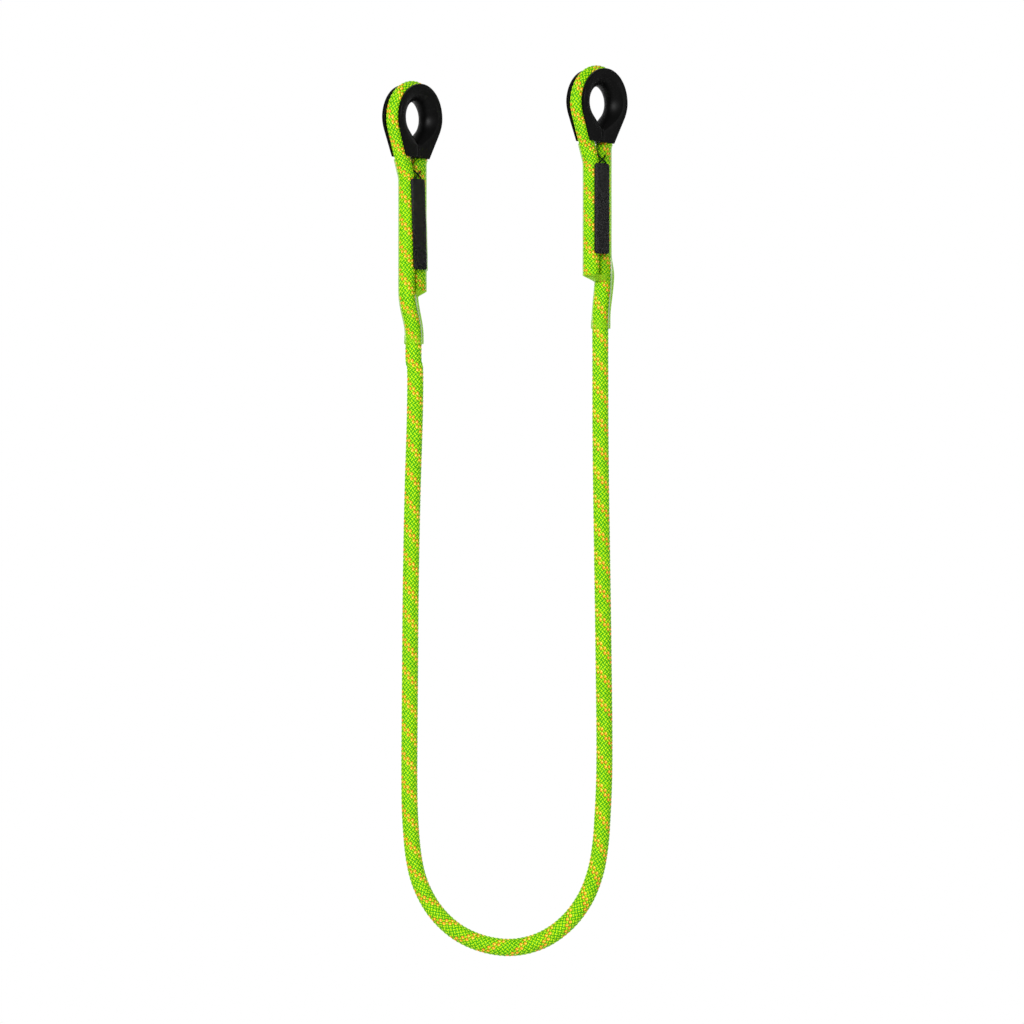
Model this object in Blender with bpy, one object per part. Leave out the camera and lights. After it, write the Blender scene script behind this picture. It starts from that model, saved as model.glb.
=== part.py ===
"""Rope restraint lanyard: one kernmantle rope with a thimble eye sewn into each end.

It hangs from its left eye, whose centre is the origin. Metres, +Z up. The loop of free
rope lies in the XZ plane, and each end is turned about the vertical. An end is modelled
in its own frame: the eye's centre at the origin, the hole along Y with the front at -Y,
and the two legs of the rope side by side along X.
"""

from functools import partial
import math

import bmesh
import bpy
from mathutils import Matrix, Vector
from mathutils.geometry import convex_hull_2d

for old in list(bpy.data.objects):
    bpy.data.objects.remove(old, do_unlink=True)

# Rope
GAP = 0.0003                # kept between pieces that touch
FREE_ROPE_D = 0.0110
SEWN_ROPE_D = 0.0106        # where the thimble, the thread and the film squeeze the rope
SHEATH_WALL = 0.0011
SHEATH_SIDES = 10
CORE_SIDES = 8
THREAD_SIDES = 6

# Route of the rope round an eye
CROWN_HALF_WIDTH = 0.0175   # the rope's centre line is an upright ellipse over the crown
CROWN_HALF_HEIGHT = 0.0198
CROWN_LOWER = 0.0032        # from the eye's centre down to the middle of that ellipse
HORN_ROPE_X = 0.0083        # half the spacing of the rope's two sides at the horns' ends
EYE_TILT = math.radians(3.5)  # the eye leans in its own plane, its top towards +X
LEG_BEND_R = 0.018
TAIL_DROP = 0.1175          # from the eye's centre down to the end of the tail
TAIL_SEAL_LENGTH = 0.0025
TAIL_SEAL_ROUND = 0.0018
SLEEVE_DROP = 0.1527        # from the eye's centre down to the sleeve's mouth

# Thimble
THIMBLE_T = 0.0176
THIMBLE_DROP = 0.0295       # from the eye's centre down to the horns' cut ends
TAPER_DROP = 0.0040         # from here down the thimble gets thinner
HORN_END_T = 0.0134         # and this is its thickness at the horns' ends
FLANGE_RISE = 0.0028        # how far the flanges stand outside the rope's centre line
FLANGE_ROUND = 0.0006
GROOVE_SPLAY = 0.0003       # each groove wall leans out by this much at the flange's edge
BORE_HALF_WIDTH = 0.0098    # the bore is egg-shaped, with its tip between the horns
BORE_HALF_HEIGHT = 0.0106
BORE_LOWER = 0.0030
BORE_TIP_DROP = 0.0190
WIDTH_FLARE = 0.0060        # how much wider, taller and deeper the bore is at a face
HEIGHT_FLARE = 0.0050
TIP_FLARE = 0.0043
HORN_SLOT = 0.0006
CUTTER_OVERRUN = 0.003      # how far a cutter reaches past what it cuts

# Stitching
THREAD_D = 0.0008
STITCH_TOP_DROP = 0.0380
STITCH_PITCH = 0.0105
STITCH_COUNT = 6
STITCH_HALF_WIDTH = 0.0029
STITCH_DEPTH = 0.0049       # from the legs' middle plane out to the thread's crossings

# Cover strip and clear sleeve
STRIP_TOP_DROP = 0.0435
STRIP_LENGTH = 0.0600
STRIP_T = 0.0009
STRIP_WRAP = math.radians(22.5)   # how far the strip follows each leg round
STRIP_CORNER = 0.0018
SLEEVE_TOP_CLEARANCE = 0.0007     # from the lower horn's corner to the sleeve
FILM_T = 0.0004
MOUTH_FLARE = 0.0003
FILM_SIDES = 24

# The two ends: where each eye hangs, how it is turned, and which leg stands
EYE_SPACING = 0.1225
RIGHT_EYE_RISE = 0.0103
ENDS = {
    "left": {"eye": Vector((0, 0, 0)), "turn": math.radians(48), "standing": -1, "mouth_x": 0.0010},
    "right": {"eye": Vector((EYE_SPACING, 0, RIGHT_EYE_RISE)), "turn": math.radians(43.5),
              "standing": 1, "mouth_x": 0.0029},
}

# Route of the free rope between the mouths, X and Z in metres, chosen by eye
FREE_ROUTE = [
    (0.0017, -0.1690), (0.0018, -0.1850), (0.0013, -0.2100), (0.0002, -0.2450), (-0.0007, -0.2850),
    (-0.0013, -0.3250), (-0.0016, -0.3650), (-0.0019, -0.4050), (-0.0021, -0.4400), (-0.0015, -0.4680),
    (0.0011, -0.4952), (0.0064, -0.5139), (0.0163, -0.5305), (0.0307, -0.5434), (0.0485, -0.5510),
    (0.0678, -0.5529), (0.0865, -0.5479), (0.1023, -0.5368), (0.1141, -0.5214), (0.1213, -0.5034),
    (0.1247, -0.4843), (0.1261, -0.4649), (0.1270, -0.4454), (0.1273, -0.4260), (0.1272, -0.4000),
    (0.1268, -0.3676), (0.1263, -0.3288), (0.1257, -0.2900), (0.1251, -0.2510), (0.1247, -0.2120),
    (0.1246, -0.1750),
]
RUN_STEP = 3 * FREE_ROPE_D      # spacing of the tube's points along the legs
BEND_STEP = 2 * FREE_ROPE_D     # and round the bottom of the loop
BEND_HEIGHT = -0.455            # the loop bends below this height

# Colours as linear values, with roughness
GREEN = ((0.22, 0.62, 0.01, 1), 0.7)
WHITE = ((0.80, 0.80, 0.76, 1), 0.8)
ORANGE = ((0.80, 0.22, 0.02, 1), 0.5)
BLACK_PLASTIC = ((0.010, 0.010, 0.011, 1), 0.35)
BLACK_THREAD = ((0.008, 0.008, 0.008, 1), 0.8)
BLACK_STRIP = ((0.014, 0.014, 0.015, 1), 0.45)
CLEAR_FILM = ((0.55, 0.75, 0.45, 0.25), 0.15)

# Sizes that follow from the ones above
SEWN_R = SEWN_ROPE_D / 2
FREE_R = FREE_ROPE_D / 2
LEG_X = SEWN_R + GAP / 2
DRIFT_DROP = TAIL_DROP + GAP        # where the standing leg starts to leave its side of the sleeve
STRAIGHT_DROP = SLEEVE_DROP - FREE_R    # from here to the mouth the rope runs straight
GROOVE_R = SEWN_R + GAP
HOLE_R = THREAD_D / 2 + GAP
STRIP_BACK_R = SEWN_R + GAP
STRIP_FRONT_R = STRIP_BACK_R + STRIP_T
CROWN_SLIM = CROWN_HALF_WIDTH / CROWN_HALF_HEIGHT


def tangent_turn(half_width, half_height, drop, x=0.0):
    """How far round under its side an ellipse is left by the tangent to a point below it."""
    squashed = drop * half_width / half_height
    return math.asin(half_width / math.hypot(x, squashed)) - math.atan2(x, squashed)


CROWN_TURN = tangent_turn(CROWN_HALF_WIDTH, CROWN_HALF_HEIGHT, THIMBLE_DROP - CROWN_LOWER, HORN_ROPE_X)
HORN_ANGLE = math.atan(math.tan(CROWN_TURN) * CROWN_SLIM)
CORNER_X = HORN_ROPE_X + FLANGE_RISE / math.cos(HORN_ANGLE)
SLEEVE_TOP_DROP = (THIMBLE_DROP * math.cos(EYE_TILT) + CORNER_X * math.sin(EYE_TILT)
                   + SLEEVE_TOP_CLEARANCE)


def material(name, finish):
    colour, roughness = finish
    made = bpy.data.materials.new(name)
    made.use_nodes = True
    shader = made.node_tree.nodes["Principled BSDF"]
    shader.inputs["Base Color"].default_value = colour
    shader.inputs["Roughness"].default_value = roughness
    shader.inputs["Alpha"].default_value = colour[3]
    return made


def add_object(name, data, parent, finish):
    made = bpy.data.objects.new(name, data)
    bpy.context.scene.collection.objects.link(made)
    made.parent = parent
    data.materials.clear()
    data.materials.append(material(name, finish))
    return made


def mesh_from(bm, name, smooth=40):
    bmesh.ops.recalc_face_normals(bm, faces=bm.faces)
    mesh = bpy.data.meshes.new(name)
    bm.to_mesh(mesh)
    bm.free()
    mesh.shade_smooth()
    mesh.set_sharp_from_angle(angle=math.radians(smooth))
    return mesh


def arc(centre, radius, start, end, steps):
    """Points on an arc in a plane, from the angle start to the angle end."""
    return [Vector((centre[0] + radius * math.cos(start + (end - start) * i / steps),
                    centre[1] + radius * math.sin(start + (end - start) * i / steps)))
            for i in range(steps + 1)]


def loft(rings, closed_ends):
    """Skin over rings that hold the same number of points."""
    bm = bmesh.new()
    rows = [[bm.verts.new(point) for point in ring] for ring in rings]
    count = len(rings[0])
    for low, high in zip(rows, rows[1:]):
        for i in range(count):
            j = (i + 1) % count
            bm.faces.new((low[i], low[j], high[j], high[i]))
    if closed_ends:
        bm.faces.new(rows[0][::-1])
        bm.faces.new(rows[-1])
    return bm


def cut(target, cutter, name):
    """Take the cutter's shape out of the target."""
    cutter.hide_render = True
    cutter.display_type = "WIRE"
    boolean = target.modifiers.new(name, "BOOLEAN")
    boolean.operation = "DIFFERENCE"
    boolean.object = cutter


def cutter_object(name, bm, parent):
    made = bpy.data.objects.new(name, mesh_from(bm, name))
    bpy.context.scene.collection.objects.link(made)
    made.parent = parent
    return made


def cord_curve(name, points, radius, caps, sides):
    curve = bpy.data.curves.new(name, "CURVE")
    curve.dimensions = "3D"
    curve.twist_mode = "MINIMUM"
    curve.bevel_depth = radius
    curve.bevel_resolution = sides // 2 - 2
    curve.use_fill_caps = caps
    spline = curve.splines.new("POLY")
    spline.points.add(len(points) - 1)
    for slot, point in zip(spline.points, points):
        slot.co = (*point, 1)
    spline.use_smooth = True
    return curve


def as_mesh(curve, name):
    """The curve's tube as a mesh, so that it can be cut."""
    holder = bpy.data.objects.new(name, curve)
    bpy.context.scene.collection.objects.link(holder)
    made = bpy.data.meshes.new_from_object(holder.evaluated_get(bpy.context.evaluated_depsgraph_get()))
    bpy.data.objects.remove(holder, do_unlink=True)
    made.name = name
    return made


def hollow(target, wall):
    """Give an open tube a wall that grows inwards."""
    solid = target.modifiers.new("wall", "SOLIDIFY")
    solid.thickness = wall
    solid.offset = -1
    solid.use_even_offset = True
    solid.use_rim = True


def core_r(rope_r):
    """Radius of the core, clear of the flats of the faceted sheath round it."""
    return (rope_r - SHEATH_WALL) * math.cos(math.pi / SHEATH_SIDES) - GAP


def ellipse(half_width, half_height, lower, turn, steps):
    """Points and outward normals over the top of an ellipse, to a turn under each side."""
    places = []
    for i in range(steps + 1):
        angle = -turn + (math.pi + 2 * turn) * i / steps
        point = Vector((half_width * math.cos(angle), half_height * math.sin(angle) - lower))
        normal = Vector((math.cos(angle) / half_width, math.sin(angle) / half_height)).normalized()
        places.append((point, normal))
    return places


def round_eye(steps, rise=0.0):
    """The rope's centre line over the crown, from the +X side, or a line that far outside it."""
    crown = ellipse(CROWN_HALF_WIDTH, CROWN_HALF_HEIGHT, CROWN_LOWER, CROWN_TURN, steps)
    return [point + normal * rise for point, normal in crown]


def tilted(point):
    """A point of the eye's plane, after the eye has leant over."""
    return Matrix.Rotation(-EYE_TILT, 2) @ point


def horn_end(side):
    """Where the rope leaves the horn on one side, in the end's own frame."""
    return tilted(Vector((side * HORN_ROPE_X, -THIMBLE_DROP)))


def leg_bend(side, steps=3):
    """The centre line where one leg turns from upright to slanting, just under its horn."""
    angle = HORN_ANGLE + side * EYE_TILT
    start = horn_end(side)
    spare = side * start.x - LEG_X
    radius = min(LEG_BEND_R, (spare / math.sin(angle) - GAP) / math.tan(angle / 2))
    corner = start.y - spare / math.tan(angle)
    bend = arc((LEG_X + radius, corner - radius * math.tan(angle / 2)), radius, math.pi, math.pi - angle, steps)
    return [Vector((p.x * side, p.y)) for p in bend]


def standing_x(end, drop):
    """Where the standing leg is across the end, at this depth under the eye."""
    start = end["standing"] * LEG_X
    share = (drop - DRIFT_DROP) / (STRAIGHT_DROP - DRIFT_DROP)
    share = min(max(share, 0), 1)
    return start + (end["mouth_x"] - start) * share * share * (3 - 2 * share)


def eye_route(end):
    """The rope's centre line from the end of the tail, round the eye, to the mouth."""
    tail_side = -end["standing"]
    crown = [tilted(point) for point in round_eye(16)]
    if tail_side < 0:
        crown.reverse()
    flat = [Vector((tail_side * LEG_X, -TAIL_DROP)), *leg_bend(tail_side), *crown]
    flat += reversed(leg_bend(-tail_side))
    steps = 5
    for i in range(steps + 1):
        drop = DRIFT_DROP + (STRAIGHT_DROP - DRIFT_DROP) * i / steps
        flat.append(Vector((standing_x(end, drop), -drop)))
    flat.append(Vector((end["mouth_x"], -SLEEVE_DROP + GAP / 2)))
    return [Vector((p.x, 0, p.y)) for p in flat]


def bore_outline(flare, steps=24):
    """Outline of the bore in the XZ plane: a rounded top whose sides run down to a point."""
    half_width = BORE_HALF_WIDTH + WIDTH_FLARE * flare
    half_height = BORE_HALF_HEIGHT + HEIGHT_FLARE * flare
    tip_drop = BORE_TIP_DROP + TIP_FLARE * flare
    turn = tangent_turn(half_width, half_height, tip_drop - BORE_LOWER)
    points = [point for point, normal in ellipse(half_width, half_height, BORE_LOWER, turn, steps)]
    return [*points, Vector((0, -tip_drop))]


def bore_cutter(parent):
    rings = []
    stations = 6
    reach = THIMBLE_T / 2 + THIMBLE_T / 20
    for i in range(stations + 1):
        y = reach * (2 * i / stations - 1)
        rings.append([(p.x, y, p.y) for p in bore_outline((2 * y / THIMBLE_T) ** 2)])
    return cutter_object("bore_cutter", loft(rings, True), parent)


def groove_profile():
    """Section of the groove: outwards from the rope's centre line, and across the thimble."""
    lip = FLANGE_RISE + CUTTER_OVERRUN
    splay = GROOVE_R + GROOVE_SPLAY * lip / FLANGE_RISE
    inner = arc((0, 0), GROOVE_R, math.pi / 2, 3 * math.pi / 2, 8)
    return [(lip, splay), *[(p.x, p.y) for p in inner], (lip, -splay)]


def groove_cutter(parent):
    """The groove's section carried round the eye, and out past the horns' ends."""
    low = -THIMBLE_DROP - CUTTER_OVERRUN
    low_x = HORN_ROPE_X - CUTTER_OVERRUN * math.tan(HORN_ANGLE)
    path = [Vector((low_x, low)), *round_eye(16), Vector((-low_x, low))]
    rings = []
    for i, point in enumerate(path):
        before = path[max(i - 1, 0)]
        after = path[min(i + 1, len(path) - 1)]
        along = (after - before).normalized()
        out = Vector((along.y, -along.x))
        rings.append([(point.x + out.x * n, y, point.y + out.y * n) for n, y in groove_profile()])
    return cutter_object("groove_cutter", loft(rings, True), parent)


def slot_cutter(parent):
    bm = bmesh.new()
    top = -BORE_TIP_DROP + CUTTER_OVERRUN
    low = -THIMBLE_DROP - CUTTER_OVERRUN
    bmesh.ops.create_cube(bm, size=1)
    bmesh.ops.scale(bm, vec=(HORN_SLOT, THIMBLE_T * 1.2, top - low), verts=bm.verts)
    bmesh.ops.translate(bm, vec=(0, 0, (top + low) / 2), verts=bm.verts)
    return cutter_object("slot_cutter", bm, parent)


def thin_the_horns(bm):
    """Slice each side of the plate off at a slant, from the taper's start to the horns' ends."""
    run = THIMBLE_DROP - TAPER_DROP
    fall = (THIMBLE_T - HORN_END_T) / 2
    for side in (-1, 1):
        sliced = bmesh.ops.bisect_plane(bm, geom=[*bm.verts, *bm.edges, *bm.faces],
                                        plane_co=(0, side * THIMBLE_T / 2, -TAPER_DROP),
                                        plane_no=(0, side * run, -fall), clear_outer=True)
        rim = [e for e in sliced["geom_cut"] if isinstance(e, bmesh.types.BMEdge)]
        bmesh.ops.contextual_create(bm, geom=[e for e in rim if e.is_boundary])


def thimble(name, parent):
    """Grooved egg-shaped ring: a plate with rounded edges, less its bore, groove and slot."""
    outline = [Vector((CORNER_X, -THIMBLE_DROP)), *round_eye(26, FLANGE_RISE),
               Vector((-CORNER_X, -THIMBLE_DROP))]
    bm = bmesh.new()
    front = bm.faces.new([bm.verts.new((p.x, -THIMBLE_T / 2, p.y)) for p in outline])
    pulled = bmesh.ops.extrude_face_region(bm, geom=[front])
    moved = [v for v in pulled["geom"] if isinstance(v, bmesh.types.BMVert)]
    bmesh.ops.translate(bm, vec=(0, THIMBLE_T, 0), verts=moved)
    thin_the_horns(bm)
    made = add_object(name, mesh_from(bm, name, 35), parent, BLACK_PLASTIC)
    rounding = made.modifiers.new("edges", "BEVEL")
    rounding.width = FLANGE_ROUND
    rounding.segments = 2
    rounding.limit_method = "ANGLE"
    rounding.angle_limit = math.radians(35)
    cut(made, bore_cutter(parent), "bore")
    cut(made, groove_cutter(parent), "groove")
    cut(made, slot_cutter(parent), "slot")
    return made


def stitch_corners(end):
    """Corners of the thread's path: across the front, through a leg, back behind, and so on."""
    def corner(side, y, drop):
        inside_leg = leg_spread(side, drop) - LEG_X + STITCH_HALF_WIDTH
        return Vector((side * inside_leg, y, -drop))

    corners = []
    near = end["standing"]
    for i in range(STITCH_COUNT):
        top = STITCH_TOP_DROP + i * STITCH_PITCH
        corners.append(corner(near, -STITCH_DEPTH, top))
        corners.append(corner(-near, -STITCH_DEPTH, top + STITCH_PITCH / 2))
        corners.append(corner(-near, STITCH_DEPTH, top + STITCH_PITCH / 2))
        corners.append(corner(near, STITCH_DEPTH, top + STITCH_PITCH))
    return corners


def stitching(name, end, parent):
    """One black thread that laces the two legs together through holes in the rope."""
    corners = stitch_corners(end)
    turn_r = THREAD_D
    first = Vector((corners[0].x, 0, corners[0].z))
    last = Vector((corners[-1].x, 0, corners[-1].z))
    stops = [first, *corners, last]
    points = [first]
    for before, corner, after in zip(stops, stops[1:], stops[2:]):
        into = corner + (before - corner).normalized() * turn_r
        out = corner + (after - corner).normalized() * turn_r
        points += [into, out]
    points.append(last)
    curve = cord_curve(name, points, THREAD_D / 2, True, THREAD_SIDES)
    return add_object(name, curve, parent, BLACK_THREAD)


def needle_holes(name, end, parent):
    """Cutter with a round hole for each place where the thread passes through a leg."""
    bm = bmesh.new()
    places = {(round(c.x, 6), round(c.z, 6)) for c in stitch_corners(end)}
    for x, z in sorted(places):
        here = Matrix.Translation((x, 0, z)) @ Matrix.Rotation(math.pi / 2, 4, "X")
        bmesh.ops.create_cone(bm, cap_ends=True, segments=THREAD_SIDES, radius1=HOLE_R, radius2=HOLE_R,
                              depth=SEWN_ROPE_D + 2 * CUTTER_OVERRUN, matrix=here)
    return cutter_object(name, bm, parent)


def strip_profile(wrap):
    """Section of the strip: flat over the seam, then this far round the outside of each leg."""
    steps = 3
    back = arc((LEG_X, 0), STRIP_BACK_R, -math.pi / 2, -math.pi / 2 + wrap, steps)
    front = arc((LEG_X, 0), STRIP_FRONT_R, -math.pi / 2, -math.pi / 2 + wrap, steps)
    half_back = [Vector((-p.x, p.y)) for p in reversed(back)]
    half_front = [Vector((-p.x, p.y)) for p in front]
    return half_back + back + list(reversed(front)) + half_front


def cover_strip(name, parent):
    """A strip whose four corners are rounded, so it is narrower near its ends."""
    corner = [(p.y, p.x / STRIP_BACK_R)
              for p in arc((STRIP_CORNER, STRIP_CORNER), STRIP_CORNER, -math.pi / 2, -math.pi, 2)]
    low = -STRIP_TOP_DROP - STRIP_LENGTH
    ends = [(low + rise, STRIP_WRAP - less) for rise, less in corner]
    ends += [(-STRIP_TOP_DROP - rise, STRIP_WRAP - less) for rise, less in reversed(corner)]
    rings = [[(p.x, p.y, z) for p in strip_profile(wrap)] for z, wrap in ends]
    return add_object(name, mesh_from(loft(rings, True), name), parent, BLACK_STRIP)


def tail_seal(name, end, parent):
    """Rounded plug of melted rope that closes the tail."""
    sides = 12
    top = -TAIL_DROP - GAP
    flat_r = SEWN_R - TAIL_SEAL_ROUND
    rings = [[(p.x, p.y, top) for p in arc((0, 0), SEWN_R, 0, 2 * math.pi, sides)[:-1]]]
    for turned in arc((flat_r, top - TAIL_SEAL_LENGTH + TAIL_SEAL_ROUND), TAIL_SEAL_ROUND, 0, -math.pi / 2, 3):
        rings.append([(p.x, p.y, turned.y) for p in arc((0, 0), turned.x, 0, 2 * math.pi, sides)[:-1]])
    bm = loft(rings, True)
    bmesh.ops.translate(bm, vec=(-end["standing"] * LEG_X, 0, 0), verts=bm.verts)
    return add_object(name, mesh_from(bm, name), parent, ORANGE)


def slanted(radius, place, drop):
    """Half the level width of a rope whose centre line leans as place(drop) does."""
    step = 0.0005
    return radius * math.hypot(1, (place(drop + step) - place(drop - step)) / (2 * step))


def film_section(end, drop):
    """Inner outline of the sleeve at this depth: a skin drawn tight over what it holds."""
    def standing(depth):
        return standing_x(end, depth)

    if drop < DRIFT_DROP:
        shapes = [(side * leg_spread(side, drop), slanted(SEWN_R, partial(leg_spread, side), drop))
                  for side in (-1, 1)]
    else:
        past = (drop - TAIL_DROP - TAIL_SEAL_LENGTH - GAP) / (2 * TAIL_SEAL_LENGTH)
        past = min(max(past, 0), 1)
        tail_x = -end["standing"] * LEG_X
        tail_x += (standing(drop) - tail_x) * past
        shapes = [(standing(drop), slanted(rope_r_at(drop), standing, drop)), (tail_x, SEWN_R)]
    flare = MOUTH_FLARE * max(0, 1 - (SLEEVE_DROP - drop) / FREE_ROPE_D)
    cloud = []
    for x, radius in shapes:
        cloud += arc((x, 0), radius + GAP + flare, 0, 2 * math.pi, 48)[:-1]
    if STRIP_TOP_DROP - STRIP_T <= drop <= STRIP_TOP_DROP + STRIP_LENGTH + STRIP_T:
        for side in (-1, 1):
            bow = arc((LEG_X, 0), STRIP_FRONT_R + GAP, -math.pi / 2, -math.pi / 2 + STRIP_WRAP, 6)
            cloud += [Vector((p.x * side, p.y)) for p in bow]
    hull = [cloud[i] for i in convex_hull_2d(cloud)]
    middle = sum((p[0] for p in shapes), 0.0) / len(shapes)
    return [(p.x, p.y, -drop) for p in even_points(hull, FILM_SIDES, middle)]


def leg_spread(side, drop):
    """How far one leg stands from the middle at this depth, above where the drift starts."""
    points = [*leg_bend(side), horn_end(side)]
    if -drop <= points[0].y:
        return LEG_X
    for low, high in zip(points, points[1:]):
        if low.y <= -drop <= high.y:
            return side * (low.x + (high.x - low.x) * (-drop - low.y) / (high.y - low.y))
    return side * points[-1].x


def rope_r_at(drop):
    """The rope's radius here: the free rope is fuller than the squeezed one."""
    return FREE_R if drop > STRAIGHT_DROP else SEWN_R


def even_points(hull, count, middle):
    """Read the outline where rays from its middle at even angles meet it."""
    found = []
    for i in range(count):
        angle = 2 * math.pi * (i + 0.5) / count
        ray = Vector((math.cos(angle), math.sin(angle)))
        best = 0.0
        for a, b in zip(hull, hull[1:] + hull[:1]):
            start = a - Vector((middle, 0))
            side = b - a
            cross = ray.x * side.y - ray.y * side.x
            if abs(cross) < 1e-12:
                continue
            reach = (start.x * side.y - start.y * side.x) / cross
            share = (start.x * ray.y - start.y * ray.x) / cross
            if reach > best and -1e-6 <= share <= 1 + 1e-6:
                best = reach
        found.append(ray * best + Vector((middle, 0)))
    return found


def sleeve_drops():
    """Depths of the sleeve's rings, closer where the section changes."""
    strip_end = STRIP_TOP_DROP + STRIP_LENGTH
    seal_end = TAIL_DROP + TAIL_SEAL_LENGTH + GAP
    drops = [SLEEVE_TOP_DROP, strip_end + STRIP_T, strip_end + 2 * STRIP_T]
    bends = [-p.y for side in (-1, 1) for p in leg_bend(side)[::3]]
    drops += [drop for drop in bends if SLEEVE_TOP_DROP + GAP < drop < STRIP_TOP_DROP - 3 * STRIP_T]
    drops += [STRIP_TOP_DROP - 2 * STRIP_T, STRIP_TOP_DROP - STRIP_T]
    drops += [DRIFT_DROP, (DRIFT_DROP + seal_end) / 2, seal_end]
    drops += [seal_end + TAIL_SEAL_LENGTH * share for share in (0.5, 1.0, 2.0)]
    here = drops[-1]
    drops += [here + (STRAIGHT_DROP - here) * i / 3 for i in range(1, 4)]
    drops += [(STRAIGHT_DROP + SLEEVE_DROP) / 2, SLEEVE_DROP]
    return sorted(drops)


def clear_sleeve(name, end, parent):
    rings = [film_section(end, drop) for drop in sleeve_drops()]
    made = add_object(name, mesh_from(loft(rings, False), name, 60), parent, CLEAR_FILM)
    film = made.modifiers.new("film", "SOLIDIFY")
    film.thickness = FILM_T
    film.offset = 1
    film.use_rim = True
    return made


def eye_rope(side, end, parent):
    """The rope of one end: sheath and core round the eye, both drilled for the thread."""
    route = eye_route(end)
    holes = needle_holes(side + "_needle_holes", end, parent)
    tube = cord_curve(side + "_sheath", route, SEWN_R, False, SHEATH_SIDES)
    sheath_mesh = as_mesh(tube, side + "_sheath")
    sheath = add_object(side + "_eye_sheath", sheath_mesh, parent, GREEN)
    hollow(sheath, SHEATH_WALL)
    cut(sheath, holes, "needle_holes")
    core_mesh = as_mesh(cord_curve(side + "_core", route, core_r(SEWN_R), True, CORE_SIDES), side + "_core")
    core = add_object(side + "_eye_core", core_mesh, parent, WHITE)
    cut(core, holes, "needle_holes")
    return sheath, core


def free_points(start, finish):
    """Smooth curve from mouth to mouth through the route, upright at both ends."""
    lead = Vector((0, 0, FREE_ROPE_D))
    knots = [start, start - lead, *[Vector((x, 0, z)) for x, z in FREE_ROUTE], finish - lead, finish]
    dense = []
    padded = [knots[0], *knots, knots[-1]]
    for p0, p1, p2, p3 in zip(padded, padded[1:], padded[2:], padded[3:]):
        for i in range(20):
            t = i / 20
            dense.append(0.5 * (2 * p1 + (p2 - p0) * t + (2 * p0 - 5 * p1 + 4 * p2 - p3) * t ** 2
                                + (3 * p1 - p0 - 3 * p2 + p3) * t ** 3))
    dense.append(knots[-1])
    points = [start, start - lead]
    travelled = 0.0
    body = [p for p in dense if p.z < min(points[1].z, dense[-1].z - FREE_ROPE_D)]
    for before, after in zip(body, body[1:]):
        travelled += (after - before).length
        if travelled >= (BEND_STEP if after.z < BEND_HEIGHT else RUN_STEP):
            points.append(after)
            travelled = 0.0
    if (points[-1] - (finish - lead)).length < RUN_STEP / 2:
        points.pop()
    points += [finish - lead, finish]
    length = sum((b - a).length for a, b in zip(dense, dense[1:]))
    print("free rope from mouth to mouth, metres:", round(length, 4))
    return points


def mouth_of(end):
    """World place of the centre of an end's sleeve mouth."""
    across = Vector((math.cos(end["turn"]), math.sin(end["turn"]), 0))
    return end["eye"] + across * end["mouth_x"] - Vector((0, 0, SLEEVE_DROP))


def build_end(side, pivot):
    """One sewn end, hung on a pivot at its mouth."""
    end = ENDS[side]
    eye = bpy.data.objects.new(side + "_eye", None)
    bpy.context.scene.collection.objects.link(eye)
    eye.parent = pivot
    eye.location = end["eye"] - pivot.location
    eye.rotation_euler.z = end["turn"]
    lean = bpy.data.objects.new(side + "_lean", None)
    bpy.context.scene.collection.objects.link(lean)
    lean.parent = eye
    lean.rotation_euler.y = EYE_TILT
    thimble(side + "_thimble", lean)
    eye_rope(side, end, eye)
    tail_seal(side + "_tail_seal", end, eye)
    stitching(side + "_stitching", end, eye)
    cover_strip(side + "_cover_strip", eye)
    clear_sleeve(side + "_clear_sleeve", end, eye)


def add_pivot(name, place):
    made = bpy.data.objects.new(name, None)
    bpy.context.scene.collection.objects.link(made)
    made.location = place
    return made


def build_free_rope(left_pivot):
    """Sheath and core of the loop between the mouths, placed from the left mouth."""
    seam = Vector((0, 0, GAP / 2))
    start = mouth_of(ENDS["left"]) - seam
    finish = mouth_of(ENDS["right"]) - seam
    points = [p - left_pivot.location for p in free_points(start, finish)]
    name = "free_rope_sheath"
    sheath = add_object(name, cord_curve(name, points, FREE_R, False, SHEATH_SIDES), left_pivot, GREEN)
    hollow(sheath, SHEATH_WALL)
    name = "free_rope_core"
    add_object(name, cord_curve(name, points, core_r(FREE_R), True, CORE_SIDES), left_pivot, WHITE)


left_mouth = add_pivot("left_mouth", mouth_of(ENDS["left"]))
right_mouth = add_pivot("right_mouth", mouth_of(ENDS["right"]))
print("mouths:", [tuple(round(v, 5) for v in p.location) for p in (left_mouth, right_mouth)])
build_end("left", left_mouth)
build_end("right", right_mouth)
build_free_rope(left_mouth)
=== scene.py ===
# %% [markdown]
# Rope restraint lanyard
#
# A restraint lanyard is one length of kernmantle rope with a thimble eye sewn into each end.
# This one hangs in a U from both eyes, in front of white paper. Everything is in metres, +Z is
# up, and the centre of the left eye is the origin.

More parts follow.
